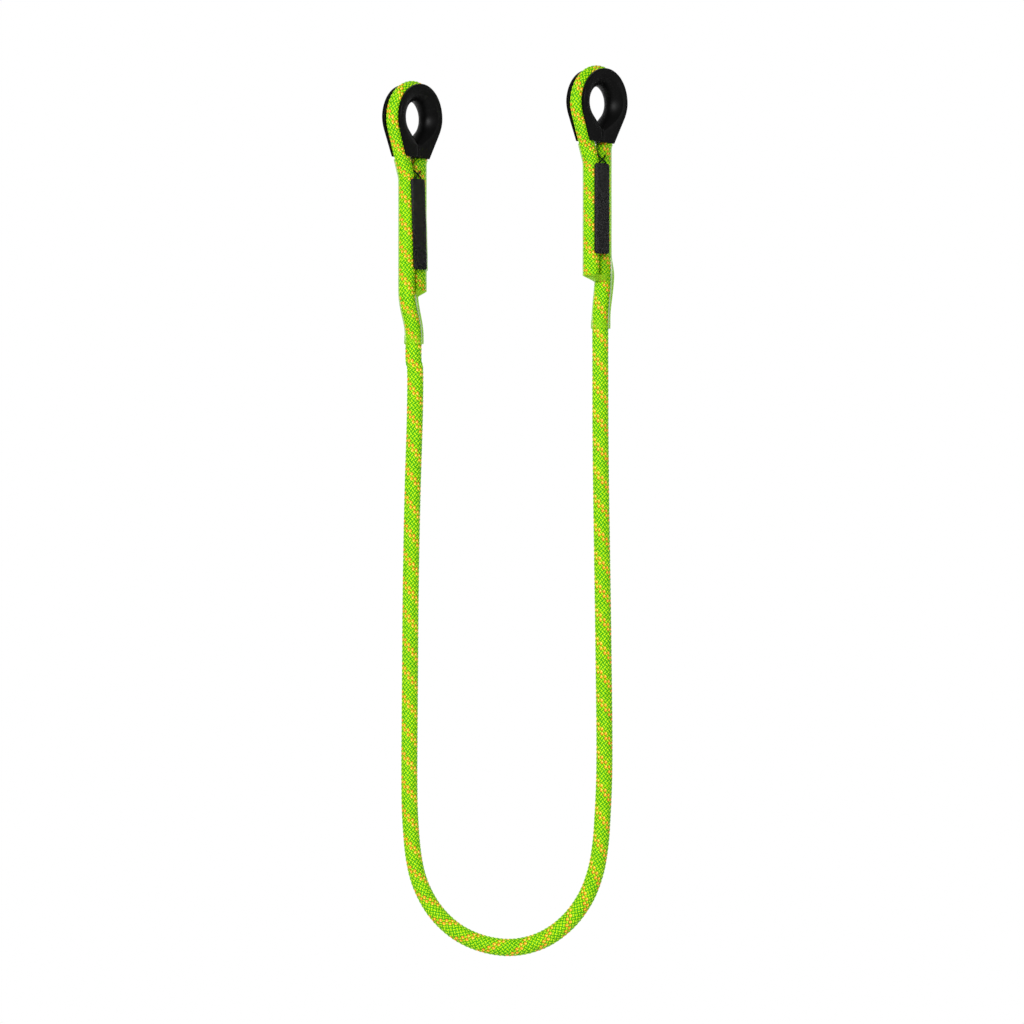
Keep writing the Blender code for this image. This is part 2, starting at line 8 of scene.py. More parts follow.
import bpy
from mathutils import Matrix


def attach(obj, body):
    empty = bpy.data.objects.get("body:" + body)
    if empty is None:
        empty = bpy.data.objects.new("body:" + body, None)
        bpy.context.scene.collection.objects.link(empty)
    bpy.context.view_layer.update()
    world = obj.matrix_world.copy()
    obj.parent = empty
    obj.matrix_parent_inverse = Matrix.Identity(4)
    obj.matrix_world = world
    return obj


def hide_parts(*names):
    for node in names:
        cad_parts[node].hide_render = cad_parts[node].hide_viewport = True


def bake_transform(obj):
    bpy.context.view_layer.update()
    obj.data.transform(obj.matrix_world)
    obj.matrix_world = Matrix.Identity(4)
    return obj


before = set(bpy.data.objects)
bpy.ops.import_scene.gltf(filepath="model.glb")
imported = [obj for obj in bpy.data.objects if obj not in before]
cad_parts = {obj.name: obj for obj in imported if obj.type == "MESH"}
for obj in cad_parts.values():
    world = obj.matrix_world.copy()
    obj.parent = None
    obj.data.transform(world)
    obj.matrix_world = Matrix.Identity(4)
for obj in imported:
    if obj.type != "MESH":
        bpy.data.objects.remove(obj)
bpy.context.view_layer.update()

# %% [markdown]
# The camera comes first, because it decides how much of each piece has to be right. The slant of
# the thimbles' lower edges says how far away it stood: about 3.4 m. From there a long lens keeps
# the two legs parallel, as a product photograph does.

# %% Place the camera
import bisect
from functools import partial
import math

import bmesh
import bpy
from mathutils import Matrix, Vector, noise
from mathutils.geometry import convex_hull_2d

CAMERA_PLACE = (0.0660, -3.40, -0.2642)
CAMERA_LENS = 180.2  # millimetres, on a sensor 36 mm wide

lens = bpy.data.cameras.new("camera")
lens.lens = CAMERA_LENS
lens.sensor_width = 36
camera = bpy.data.objects.new("camera", lens)
camera.location = CAMERA_PLACE
camera.rotation_euler.x = math.pi / 2
bpy.context.scene.collection.objects.link(camera)
bpy.context.scene.camera = camera

# %% [markdown]
# Each end of the lanyard is described in its own frame: the eye's centre at the origin, the hole
# along Y with its front at -Y, and the two legs of rope side by side along X. The standing leg
# goes on to the free rope, and the other leg is the tail. One matrix turns an end about the
# vertical and carries it to its place. Both cover strips were laid by hand, so each has its own
# distance off the seam and its own lean.

# %% Describe the two ends
FREE_R = 0.0055
SEWN_R = 0.0053  # the thread and the film squeeze the rope a little
GAP = 0.0003  # kept between pieces that touch
LEG_X = SEWN_R + GAP / 2  # each leg stands this far from the end's middle
SLEEVE_DROP = 0.1527  # from the eye's centre down to the sleeve's mouth
TAIL_DROP = 0.1175

ENDS = {
    "left": {"place": Vector((0, 0, 0)), "turn": math.radians(48), "standing": -1, "mouth_x": 0.0010,
             "strip_x": 0.0, "strip_lean": math.radians(2.5)},
    "right": {"place": Vector((0.1225, 0, 0.0103)), "turn": math.radians(43.5), "standing": 1,
              "mouth_x": 0.0029, "strip_x": -0.0014, "strip_lean": 0.0},
}


def end_matrix(end):
    return Matrix.Translation(end["place"]) @ Matrix.Rotation(end["turn"], 4, "Z")


LEFT_MOUTH, RIGHT_MOUTH = (end_matrix(end) @ Vector((end["mouth_x"], 0, -SLEEVE_DROP))
                           for end in ENDS.values())
print("the free rope runs from", LEFT_MOUTH, "to", RIGHT_MOUTH)

# %% [markdown]
# The free rope is a fixed length of something flexible. It leaves each mouth straight down and
# hangs in a loop, slightly fuller on the left, as the rope was coiled the other way before.
# A Catmull-Rom curve goes through every chosen point, so the route can be read off the points.

# %% Draw the route of the free rope
FREE_ROUTE = [
    (0.0017, -0.1690), (0.0018, -0.1850), (0.0013, -0.2100), (0.0002, -0.2450), (-0.0007, -0.2850),
    (-0.0013, -0.3250), (-0.0016, -0.3650), (-0.0019, -0.4050), (-0.0021, -0.4400), (-0.0015, -0.4680),
    (0.0011, -0.4952), (0.0064, -0.5139), (0.0163, -0.5305), (0.0307, -0.5434), (0.0485, -0.5510),
    (0.0678, -0.5529), (0.0865, -0.5479), (0.1023, -0.5368), (0.1141, -0.5214), (0.1213, -0.5034),
    (0.1247, -0.4843), (0.1261, -0.4649), (0.1270, -0.4454), (0.1273, -0.4260), (0.1272, -0.4000),
    (0.1268, -0.3676), (0.1263, -0.3288), (0.1257, -0.2900), (0.1251, -0.2510), (0.1247, -0.2120),
    (0.1246, -0.1750),
]


def smooth_line(knots, steps=20):
    """Points on a Catmull-Rom curve through the knots."""
    line = []
    padded = [knots[0], *knots, knots[-1]]
    for p0, p1, p2, p3 in zip(padded, padded[1:], padded[2:], padded[3:]):
        for i in range(steps):
            t = i / steps
            line.append(0.5 * (2 * p1 + (p2 - p0) * t + (2 * p0 - 5 * p1 + 4 * p2 - p3) * t ** 2
                               + (3 * p1 - p0 - 3 * p2 + p3) * t ** 3))
    line.append(knots[-1])
    return line


def runs(line):
    """Length of rope from the line's start to each of its points."""
    total = [0.0]
    for before, after in zip(line, line[1:]):
        total.append(total[-1] + (after - before).length)
    return total


lead = Vector((0, 0, 2 * FREE_R))
free_knots = [LEFT_MOUTH, LEFT_MOUTH - lead, *[Vector((x, 0, z)) for x, z in FREE_ROUTE],
              RIGHT_MOUTH - lead, RIGHT_MOUTH]
free_line = smooth_line(free_knots)
free_runs = runs(free_line)
FREE_LENGTH = free_runs[-1]
print(f"free rope from mouth to mouth: {FREE_LENGTH:.4f} m")

# %% [markdown]
# The sheath is braided from 12 strands each way, each of two yarns side by side. Every strand
# passes over one that crosses it and then under one, which draws columns of short slanting floats
# along the rope, leaning left and right in turn. Counting in strands makes this simple: with a
# strands counted round the rope and b strands counted along it, a - b numbers the strands of one
# lay and a + b those of the other, and their whole parts say which is on top.

# %% Write the braid as a relief
STRANDS = 12  # each way
LAY = 0.0377  # length of rope in which a strand goes once round
SEWN_LAY = 0.0362  # the squeezed rope is a little shorter
RELIEF = 0.00060  # from the crest of a strand down to the gap between two
FIRST_COLUMN = 0.85  # strands round at the very front
FULLNESS = 2.2  # a strand's section is a parabola at 2, and fuller above it
FLOAT_END = 0.25  # height of a float where it dives, for 1 in its middle


def float_height(a, b):
    """Height of the braid at a strands round and b strands along, from 0 to 1."""
    one, other = a - b, a + b
    across, along = one % 1, other % 1
    if (math.floor(one) + math.floor(other)) % 2:
        across, along = along, across
    crown = 1 - abs(2 * across - 1) ** FULLNESS
    return crown * (FLOAT_END + (1 - FLOAT_END) * (1 - abs(2 * along - 1) ** FULLNESS))


print("a float's middle and its corner:", float_height(0.5, 0.0), float_height(0.0, 0.0))

# %% [markdown]
# A braided tube could be a curve with a bevel, but the braid has to follow the rope's own
# surface in relief and in colour. So a flat grid of the right size is wrapped round the line:
# its X goes round and its Y goes along. The same two numbers, counted in strands, become the UV
# map that the sheath's material reads, so relief and colour can't drift apart. An end hidden in a
# sleeve can be rounded into half a ball, so that no gap opens there when the rope swings.

# %% Wrap a grid round a line
FRONT = Vector((0, -1, 0))  # across every line, as all lie in the XZ plane or close to it
STEPS_A_STRAND = 7
ROUND_STEPS = STRANDS * STEPS_A_STRAND
RING_STEP = LAY / STRANDS / STEPS_A_STRAND
MERGE = 0.00001  # points closer than this are one
KNUCKLE_R = 0.0050  # of the half ball
KNUCKLE_STEPS = 6
KNUCKLE_TOP = 0.3  # share of a step that is left open at the ball's top


def piece_of(name, mesh):
    """An object at the origin, with its place in its mesh."""
    mesh.shade_smooth()
    piece = bpy.data.objects.new(name, mesh)
    bpy.context.scene.collection.objects.link(piece)
    return piece


def new_piece(name, bm):
    mesh = bpy.data.meshes.new(name)
    bm.to_mesh(mesh)
    bm.free()
    return piece_of(name, mesh)


def stations_along(line, rings):
    """Even stations on the line: each place, and the way that lies across both line and front."""
    lengths = runs(line)
    ends = [line[0], *line, line[-1]]
    headings = [(after - before).normalized() for before, after in zip(ends, ends[2:])]
    stations = []
    for ring in range(rings + 1):
        wanted = lengths[-1] * ring / rings
        i = min(max(bisect.bisect(lengths, wanted), 1), len(line) - 1)
        share = (wanted - lengths[i - 1]) / (lengths[i] - lengths[i - 1])
        place = line[i - 1].lerp(line[i], share)
        heading = headings[i - 1].lerp(headings[i], share).normalized()
        stations.append((place, FRONT.cross(heading)))
    return stations


def fill_open(bm):
    """Fill whatever is still open, such as both ends of a tube."""
    bmesh.ops.holes_fill(bm, edges=[e for e in bm.edges if e.is_boundary], sides=0)


def round_over(bm, mouth):
    """Carry a tube's open end at a mouth up into the sleeve as half a ball."""
    rim = [e for e in bm.edges
           if e.is_boundary and all((v.co - mouth).length < 2 * FREE_R for v in e.verts)]
    for i in range(1, KNUCKLE_STEPS + 1):
        angle = math.pi / 2 * i / (KNUCKLE_STEPS + KNUCKLE_TOP)
        pulled = bmesh.ops.extrude_edge_only(bm, edges=rim)["geom"]
        rim = [e for e in pulled if isinstance(e, bmesh.types.BMEdge) and e.is_boundary]
        for vert in {v for e in rim for v in e.verts}:
            out = Vector((vert.co.x - mouth.x, vert.co.y - mouth.y, 0)).normalized() * math.cos(angle)
            vert.co = mouth + Vector((out.x, out.y, math.sin(angle))) * KNUCKLE_R


def tube_piece(name, bm, line, rings, radius_at, mouth=None):
    """Wrap a flat grid round the line, join its seam, close its ends and make a piece of it."""
    stations = stations_along(line, rings)
    for vert in bm.verts:
        around, along = vert.co.x + 0.5, vert.co.y + 0.5
        place, across = stations[round(along * rings)]
        angle = math.tau * around
        out = FRONT * math.cos(angle) + across * math.sin(angle)
        vert.co = place + out * radius_at(around, along)
    bmesh.ops.reverse_faces(bm, faces=bm.faces)
    bmesh.ops.remove_doubles(bm, verts=bm.verts, dist=MERGE)
    if mouth:
        round_over(bm, mouth)
    fill_open(bm)
    return new_piece(name, bm)


def braided_tube(name, line, radius_at, strands_along, turn=0.0, mouth=None):
    """Rope along the line, with its radius and its count of strands along given at each run."""
    length = runs(line)[-1]
    rings = round(length / RING_STEP)
    start_a = FIRST_COLUMN + STRANDS * turn / math.tau
    bm = bmesh.new()
    strands = bm.loops.layers.uv.new("strands")
    bmesh.ops.create_grid(bm, x_segments=ROUND_STEPS, y_segments=rings, size=0.5, calc_uvs=True)
    for face in bm.faces:
        for loop in face.loops:
            around, along = loop[strands].uv
            loop[strands].uv = (start_a + STRANDS * around, strands_along(length * along))

    def crest_or_gap(around, along):
        height = float_height(start_a + STRANDS * around, strands_along(length * along))
        return radius_at(length * along) - RELIEF * (1 - height)

    return tube_piece(name, bm, line, rings, crest_or_gap, mouth)


print("steps round:", ROUND_STEPS, "and a ring every", round(RING_STEP * 1000, 3), "mm")

# %% [markdown]
# The loop crosses both places where the rope flexes, and a piece can bend at only one of them.
# The free rope is two halves that meet at the bottom of the loop, where nothing moves between
# them. The braid is counted on from one half to the next. The tracer has to cross the front of
# the left leg 89 mm under the mouth, and the count is set from there. Bending the rope also packs
# its braid a little closer and thicker, so the bottom of the loop holds about two strands more.

# %% Make the two halves of the free rope
TRACER_RUN = 0.0893  # run from the left mouth to where the tracer faces front
TRACER_MIDDLE = FIRST_COLUMN - 1  # strands along at which the tracer's pair is centred
BEND_STRANDS = 2.2  # more strands than a straight rope has, in the bend
BEND_START = 0.32  # run from the left mouth to where the bend begins
BEND_RUN = 0.26
BEND_SWELL = 0.0004  # how much the bend adds to the rope's radius


def bend_share(run):
    """How much of the bend lies before this run of free rope, from 0 to 1."""
    return min(max((run - BEND_START) / BEND_RUN, 0), 1)


def strands_at(run):
    """Strands along the braid at this run of free rope from the left mouth."""
    return TRACER_MIDDLE + (run - TRACER_RUN) / LAY * STRANDS + BEND_STRANDS * bend_share(run)


def radius_at(run):
    """Radius of the free rope at this run from the left mouth."""
    return FREE_R + BEND_SWELL * math.sin(math.pi * bend_share(run)) ** 2


def free_half(name, line, start, mouth):
    """The half of the free rope that begins at this run and passes through this mouth."""
    rope = braided_tube(name, line, lambda run: radius_at(start + run),
                        lambda run: strands_at(start + run), mouth=mouth)
    print(name, len(rope.data.polygons), "faces")
    return rope


half = min(range(len(free_line)), key=lambda i: abs(free_runs[i] - FREE_LENGTH / 2))
left_half = free_line[:half + 1]
right_half = free_line[half:]
left_rope = free_half("left_free_rope", left_half, 0.0, LEFT_MOUTH)
right_rope = free_half("right_free_rope", right_half, free_runs[half], RIGHT_MOUTH)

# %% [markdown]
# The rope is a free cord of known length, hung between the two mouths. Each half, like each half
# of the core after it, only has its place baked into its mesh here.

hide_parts("free_rope_sheath")
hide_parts("free_rope_sheath")


def flex(left_piece, right_piece):
    """Bake the places of a pair of pieces into their meshes."""
    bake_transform(left_piece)
    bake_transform(right_piece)


flex(left_rope, right_rope)

# %% [markdown]
# Under the sheath lie the core's parallel strands, twisted together a little. They never show,
# but a cut through the rope would look wrong without them. The core is the same wrapped grid with
# a coarser relief: eight bundles that wind slowly round the middle.

# %% Make the core of the free rope
CORE_R = 0.0039
CORE_STEP = 0.003
BUNDLES = 8
BUNDLE_LAY = 0.12  # length of core in which a bundle goes once round
BUNDLE_RELIEF = 0.12  # depth of the grooves between bundles, for a radius of 1


def twisted_core(name, line):
    length = runs(line)[-1]
    rings = round(length / CORE_STEP)
    bm = bmesh.new()
    bmesh.ops.create_grid(bm, x_segments=BUNDLES * 4, y_segments=rings, size=0.5)

    def bundle_or_groove(around, along):
        wind = BUNDLES * math.pi * (around + length * along / BUNDLE_LAY)
        return CORE_R * (1 - BUNDLE_RELIEF * (1 - abs(math.sin(wind))))

    return tube_piece(name, bm, line, rings, bundle_or_groove)


left_core = twisted_core("left_free_core", left_half)
right_core = twisted_core("right_free_core", right_half)
print("faces of a core:", len(left_core.data.polygons))
for piece in (left_core, right_core):
    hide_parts("free_rope_core")
flex(left_core, right_core)

# %% [markdown]
# Round each eye the rope runs up one leg, over the thimble's crown and down the other leg. The
# crown is the top of an upright ellipse, and the eye leans a little in its own plane. Straight
# runs leave the ellipse at a tangent, and each bends into its upright leg just under the horn.
# The standing leg drifts towards the sleeve's mouth once the tail has ended.

# %% Draw the route round an eye
CROWN_HALF_WIDTH = 0.0175
CROWN_HALF_HEIGHT = 0.0198
CROWN_LOWER = 0.0032  # from the eye's centre down to the middle of the ellipse
THIMBLE_DROP = 0.0295  # from the eye's centre down to the horns' cut ends
HORN_ROPE_X = 0.0083  # half the spacing of the rope's two sides there
EYE_TILT = math.radians(3.5)  # the top of the eye leans towards +X
LEG_BEND_R = 0.018
DRIFT_DROP = TAIL_DROP + GAP  # the standing leg drifts from here
STRAIGHT_DROP = SLEEVE_DROP - FREE_R  # to here
CROWN_STEPS = 72
DRIFT_STEPS = 12


def arc(centre, radius, start, stop, steps):
    """Points on an arc, from the angle start to the angle stop."""
    return [Vector((centre[0] + radius * math.cos(start + (stop - start) * i / steps),
                    centre[1] + radius * math.sin(start + (stop - start) * i / steps)))
            for i in range(steps + 1)]


def on_ellipse(half_width, half_height, lower, angle):
    """A point on an upright ellipse, and the way outwards there."""
    place = Vector((half_width * math.cos(angle), half_height * math.sin(angle) - lower))
    return place, Vector((math.cos(angle) / half_width, math.sin(angle) / half_height)).normalized()


def crown_point(angle):
    """A point of the rope's centre line over the crown, and the way outwards there."""
    return on_ellipse(CROWN_HALF_WIDTH, CROWN_HALF_HEIGHT, CROWN_LOWER, angle)


def tangent_turn(half_width, half_height, drop, x=0.0):
    """How far round under its side an ellipse is left by the tangent to a point below it."""
    squashed = drop * half_width / half_height
    return math.asin(half_width / math.hypot(x, squashed)) - math.atan2(x, squashed)


CROWN_TURN = tangent_turn(CROWN_HALF_WIDTH, CROWN_HALF_HEIGHT, THIMBLE_DROP - CROWN_LOWER,
                          HORN_ROPE_X)
HORN_ANGLE = math.atan(math.tan(CROWN_TURN) * CROWN_HALF_WIDTH / CROWN_HALF_HEIGHT)


def tilted(point):
    """A point of the eye's plane, after the eye has leant over."""
    return Matrix.Rotation(-EYE_TILT, 2) @ point


def leg_bend(side, steps=12):
    """The centre line where one leg turns from upright to slanting."""
    angle = HORN_ANGLE + side * EYE_TILT
    start = tilted(Vector((side * HORN_ROPE_X, -THIMBLE_DROP)))
    spare = side * start.x - LEG_X
    radius = min(LEG_BEND_R, (spare / math.sin(angle) - GAP) / math.tan(angle / 2))
    low = start.y - spare / math.tan(angle) - radius * math.tan(angle / 2)
    bend = arc((LEG_X + radius, low), radius, math.pi, math.pi - angle, steps)
    return [Vector((p.x * side, p.y)) for p in bend]


def leg_spread(side, drop):
    """How far one leg stands from the middle, above where the standing leg drifts."""
    points = [*leg_bend(side), tilted(Vector((side * HORN_ROPE_X, -THIMBLE_DROP)))]
    for low, high in zip(points, points[1:]):
        if low.y <= -drop <= high.y:
            return side * (low.x + (high.x - low.x) * (-drop - low.y) / (high.y - low.y))
    return LEG_X if -drop < points[0].y else side * points[-1].x


def eased(share):
    """A share from 0 to 1 that starts and stops softly."""
    share = min(max(share, 0), 1)
    return share * share * (3 - 2 * share)


def standing_x(end, drop):
    """Where the standing leg is across the end, at this depth under the eye."""
    start = end["standing"] * LEG_X
    share = eased((drop - DRIFT_DROP) / (STRAIGHT_DROP - DRIFT_DROP))
    return start + (end["mouth_x"] - start) * share


def eye_line(end):
    """The rope's centre line from the end of the tail, round the eye, to the mouth."""
    tail_side = -end["standing"]
    sweep = math.pi + 2 * CROWN_TURN
    crown = [tilted(crown_point(sweep * i / CROWN_STEPS - CROWN_TURN)[0])
             for i in range(CROWN_STEPS + 1)]
    if tail_side < 0:
        crown.reverse()
    flat = [Vector((tail_side * LEG_X, -TAIL_DROP)), *leg_bend(tail_side), *crown]
    flat += reversed(leg_bend(-tail_side))
    for i in range(DRIFT_STEPS + 1):
        drop = DRIFT_DROP + (STRAIGHT_DROP - DRIFT_DROP) * i / DRIFT_STEPS
        flat.append(Vector((standing_x(end, drop), -drop)))
    flat.append(Vector((end["mouth_x"], -SLEEVE_DROP)))
    return [Vector((p.x, 0, p.y)) for p in flat]


print(f"rope round the left eye: {runs(eye_line(ENDS['left']))[-1]:.4f} m")

# %% [markdown]
# The braid runs on through both mouths, because the rope is one piece. The left end's rope is
# counted backwards from the left mouth, and the right end's is drawn from its mouth to its tail
# and counted on. An end is turned about the vertical, so its braid starts turned as much. This
# rope, like all that follows, is drawn in its end's own frame and is then fitted to the end.

# %% Make the rope of both ends
def fit_to_end(piece, side, node):
    """Carry a piece to its end, where it rides along and stands in for a node of the CAD."""
    piece.data.transform(end_matrix(ENDS[side]))
    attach(piece, side + "_end")
    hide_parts(side + "_" + node)
    return piece


def at_both_ends(make):
    pieces = {side: make(side, end) for side, end in ENDS.items()}
    print([(piece.name, len(piece.data.polygons)) for piece in pieces.values()])
    return pieces


def rope_round_eye(side, end):
    line = eye_line(end)
    length = runs(line)[-1]
    if side == "left":
        first = strands_at(0) - length / SEWN_LAY * STRANDS
        turn = end["turn"]
    else:
        line.reverse()
        first = strands_at(FREE_LENGTH)
        turn = -end["turn"]
    rope = braided_tube(side + "_eye_rope", line, lambda run: SEWN_R,
                        lambda run: first + run / SEWN_LAY * STRANDS, turn)
    return fit_to_end(rope, side, "eye_sheath")


eye_ropes = at_both_ends(rope_round_eye)

# %% [markdown]
# The thimble is a moulded ring of black nylon, egg-shaped. Rope lies in a groove round its
# outside, between two flanges, and the bore flares to both faces so that no edge cuts into what
# is clipped in. Its two horns are cut straight and part at a slit with soft edges. One section is
# drawn as a loop of edges and pulled along half of the egg, changing as it goes, and the half is
# then mirrored.

# %% Draw the thimble's section
THIMBLE_T = 0.0176
TAPER_DROP = 0.0040  # from here down the flanges get thinner
HORN_END_T = 0.0134  # and this is the thimble's thickness at the horns' ends
FLANGE_RISE = 0.0028  # how far the flanges stand outside the rope's centre line
FLANGE_ROUND = 0.0006
GROOVE_R = SEWN_R + GAP
GROOVE_SPLAY = 0.0003
GROOVE_EDGE = 0.0003  # rounding of the groove's edges
BORE_HALF_WIDTH = 0.0098  # the bore is an egg too, with its tip between the horns
BORE_HALF_HEIGHT = 0.0106
BORE_LOWER = 0.0030
BORE_TIP_DROP = 0.0190
WIDTH_FLARE = 0.0060  # how much wider, taller and deeper the bore is at a face
HEIGHT_FLARE = 0.0050
TIP_FLARE = 0.0043
HALF_SLIT = 0.0003
SLIT_ROUND = 0.0022
END_ROUND = 0.0004
ARC_STEPS = 36  # sections over half of the egg
HORN_STEPS = 24  # along a horn
END_STEPS = 3  # and round its cut end


def outer_section():
    """From the back face's edge over the back flange, through the groove to the front face."""
    corner = THIMBLE_T / 2 - FLANGE_ROUND
    back = arc((FLANGE_RISE - FLANGE_ROUND, corner), FLANGE_ROUND, math.pi / 2, 0, 4)
    inside = GROOVE_R + GROOVE_SPLAY + GROOVE_EDGE
    edge = arc((FLANGE_RISE - GROOVE_EDGE, inside), GROOVE_EDGE, 0, -math.pi / 2, 2)
    groove = arc((0, 0), GROOVE_R, math.pi / 2, math.pi, 10)
    half = [*back, *edge, *groove]
    return half + [Vector((p.x, -p.y)) for p in reversed(half[:-1])]


def bore_depths():
    """Depths along the hole at which the bore is drawn, closer together near both faces."""
    steps = 20
    return [THIMBLE_T / 2 * math.sin(math.pi * (i / steps - 0.5)) for i in range(steps + 1)]


def bore_point(station, depth):
    """A point of the flared bore's wall, or of the slit's, at this station and depth."""
    flare = (2 * depth / THIMBLE_T) ** 2
    half_width = BORE_HALF_WIDTH + WIDTH_FLARE * flare
    half_height = BORE_HALF_HEIGHT + HEIGHT_FLARE * flare
    tip = BORE_TIP_DROP + TIP_FLARE * flare
    turn = tangent_turn(half_width, half_height, tip - BORE_LOWER)
    angle = math.pi / 2 - (math.pi / 2 + turn) * min(station / ARC_STEPS, 1)
    place = on_ellipse(half_width, half_height, BORE_LOWER, angle)[0]
    share = 2 * (station - ARC_STEPS) / HORN_STEPS
    if share > 1:
        place = Vector((0, -tip + (tip - THIMBLE_DROP + END_ROUND) * (share - 1)))
    elif share > 0:
        place = place.lerp(Vector((0, -tip)), share)
    past = max(abs(depth) - THIMBLE_T / 2 + SLIT_ROUND, 0)
    slit = HALF_SLIT + SLIT_ROUND - math.sqrt(SLIT_ROUND ** 2 - past ** 2)
    if station > ARC_STEPS:
        place.x = max(place.x, slit)
    return place


def thimble_section(station):
    """The closed section at a station: the groove's side first, then the bore's."""
    angle = math.pi / 2 - (math.pi / 2 + CROWN_TURN) * min(station / ARC_STEPS, 1)
    middle, out = crown_point(angle)
    heading = Vector((out.y, -out.x))
    section = []
    for n, depth in outer_section():
        place = middle + out * n
        if station > ARC_STEPS:
            fall = (THIMBLE_DROP - END_ROUND + place.y) / -heading.y
            place += heading * fall * (station - ARC_STEPS) / HORN_STEPS
        section.append(Vector((place.x, depth, place.y)))
    for depth in bore_depths():
        place = bore_point(station, depth)
        section.append(Vector((place.x, depth, place.y)))
    return section


print("points in a section:", len(thimble_section(0)))

# %% [markdown]
# Pulling a loop of edges with extrude and setting the new points to the next section is the
# script's form of sweeping by hand. The last sections are level and shrink inwards, which rounds
# the horns' ends. Then the flanges are thinned towards the horns: every point outside the groove
# moves in by its share, and the groove keeps the rope's size.

# %% Pull, thin and mirror the thimble
def pull_sections(bm, sections):
    """Skin through sections with the same number of points, and return the last one's edges."""
    first = [bm.verts.new(point) for point in sections[0]]
    edges = [bm.edges.new(pair) for pair in zip(first, first[1:] + first[:1])]
    for section in sections[1:]:
        pulled = bmesh.ops.extrude_edge_only(bm, edges=edges)["geom"]
        fresh = [v for v in pulled if isinstance(v, bmesh.types.BMVert)]
        ends = set(fresh)
        edges = [e for e in pulled if isinstance(e, bmesh.types.BMEdge) and ends.issuperset(e.verts)]
        for vert, point in zip(fresh, section):
            vert.co = point
    return edges


def shrunk_end(section, turn):
    """The level last section, moved inwards and down as a quarter round turns under."""
    flat = [Vector((p.x, p.y)) for p in section]
    moved = []
    for before, here, after in zip(flat[-1:] + flat[:-1], flat, flat[1:] + flat[:1]):
        heading = ((here - before).normalized() + (after - here).normalized()).normalized()
        inwards = Vector((heading.y, -heading.x))
        place = here + inwards * END_ROUND * (1 - math.cos(turn))
        moved.append(Vector((place.x, place.y, -THIMBLE_DROP + END_ROUND * (1 - math.sin(turn)))))
    return moved


def thinned(place):
    """Move a point outside the groove inwards, further towards the horns' ends."""
    share = (-TAPER_DROP - place.z) / (THIMBLE_DROP - TAPER_DROP)
    wall = GROOVE_R + GROOVE_SPLAY + GROOVE_EDGE
    past = abs(place.y) - wall
    if share <= 0 or past <= 0:
        return place
    room = THIMBLE_T / 2 - wall
    left = room - share * (THIMBLE_T - HORN_END_T) / 2
    return Vector((place.x, math.copysign(wall + past * left / room, place.y), place.z))


def thimble(side, _):
    sections = [thimble_section(k) for k in range(ARC_STEPS + HORN_STEPS + 1)]
    sections += [shrunk_end(sections[-1], math.pi / 2 * i / END_STEPS)
                 for i in range(1, END_STEPS + 1)]
    bm = bmesh.new()
    last = pull_sections(bm, sections)
    bmesh.ops.contextual_create(bm, geom=last)
    for vert in bm.verts:
        vert.co = thinned(vert.co)
    bmesh.ops.mirror(bm, geom=[*bm.verts, *bm.edges, *bm.faces], merge_dist=MERGE, axis="X")
    bmesh.ops.recalc_face_normals(bm, faces=bm.faces)
    piece = new_piece(side + "_moulded_thimble", bm)
    piece.data.transform(Matrix.Rotation(EYE_TILT, 4, "Y"))
    return fit_to_end(piece, side, "thimble")


thimbles = at_both_ends(thimble)

# %% [markdown]
# The tail was cut with a hot knife, which melts the sheath and the core into a smooth bead. It is
# the lower half of a sphere, squeezed flat, with the slant of the cut and a few soft lumps.

# %% Seal the tails
SEAL_LENGTH = 0.0025
SEAL_R = SEWN_R - 0.0004
SEAL_MIDDLE = 0.7  # the seal's depth at its middle, for a length of 1
SEAL_SLANT = 0.5  # and how much deeper it is at the standing leg's side
LUMP = 0.06  # depth of the lumps, for a radius of 1
LUMPS = 1.7  # how many there are across that radius
MOST_SPREAD = 3  # keeps points near the pole from being pushed out


def tail_seal(side, end):
    bm = bmesh.new()
    bmesh.ops.create_uvsphere(bm, u_segments=40, v_segments=24, radius=1)
    bmesh.ops.bisect_plane(bm, geom=[*bm.verts, *bm.edges, *bm.faces], dist=0.000001,
                           plane_co=(0, 0, 0), plane_no=(0, 0, 1), clear_outer=True)
    for vert in bm.verts:
        lump = LUMP * noise.noise(vert.co * LUMPS + Vector((end["turn"] * 9, 0, 0)))
        squared = 1 - abs(vert.co.z) ** 3
        radial = Vector((vert.co.x, vert.co.y, 0))
        wide = radial.length and min(squared ** 0.5 / radial.length, MOST_SPREAD)
        depth = SEAL_LENGTH * (SEAL_MIDDLE + SEAL_SLANT * end["standing"] * vert.co.x)
        vert.co = radial * SEAL_R * wide * (1 - abs(lump)) + Vector((0, 0, vert.co.z * depth))
    bmesh.ops.remove_doubles(bm, verts=bm.verts, dist=MERGE)
    fill_open(bm)
    bmesh.ops.recalc_face_normals(bm, faces=bm.faces)
    bmesh.ops.translate(bm, vec=(-end["standing"] * LEG_X, 0, -TAIL_DROP - GAP), verts=bm.verts)
    return fit_to_end(new_piece(side + "_melted_tail", bm), side, "tail_seal")


seals = at_both_ends(tail_seal)

# %% [markdown]
# Black bonded thread laces the two legs together. It goes down one way and comes back the other,
# as a bootlace does, so that each pair of stitches crosses in an X. Two curves with a round bevel
# make it, and they bulge a little where they cross, one over the other.

# %% Lace the legs together
THREAD_R = 0.00045
STITCH_TOP_DROP = 0.0380
STITCH_PITCH = 0.0105
STITCH_COUNT = 6
STITCH_HALF_WIDTH = 0.0029
STITCH_DEPTH = 0.0049
CROSS_LIFT = 0.00035  # one thread rises and one sinks by this where they cross


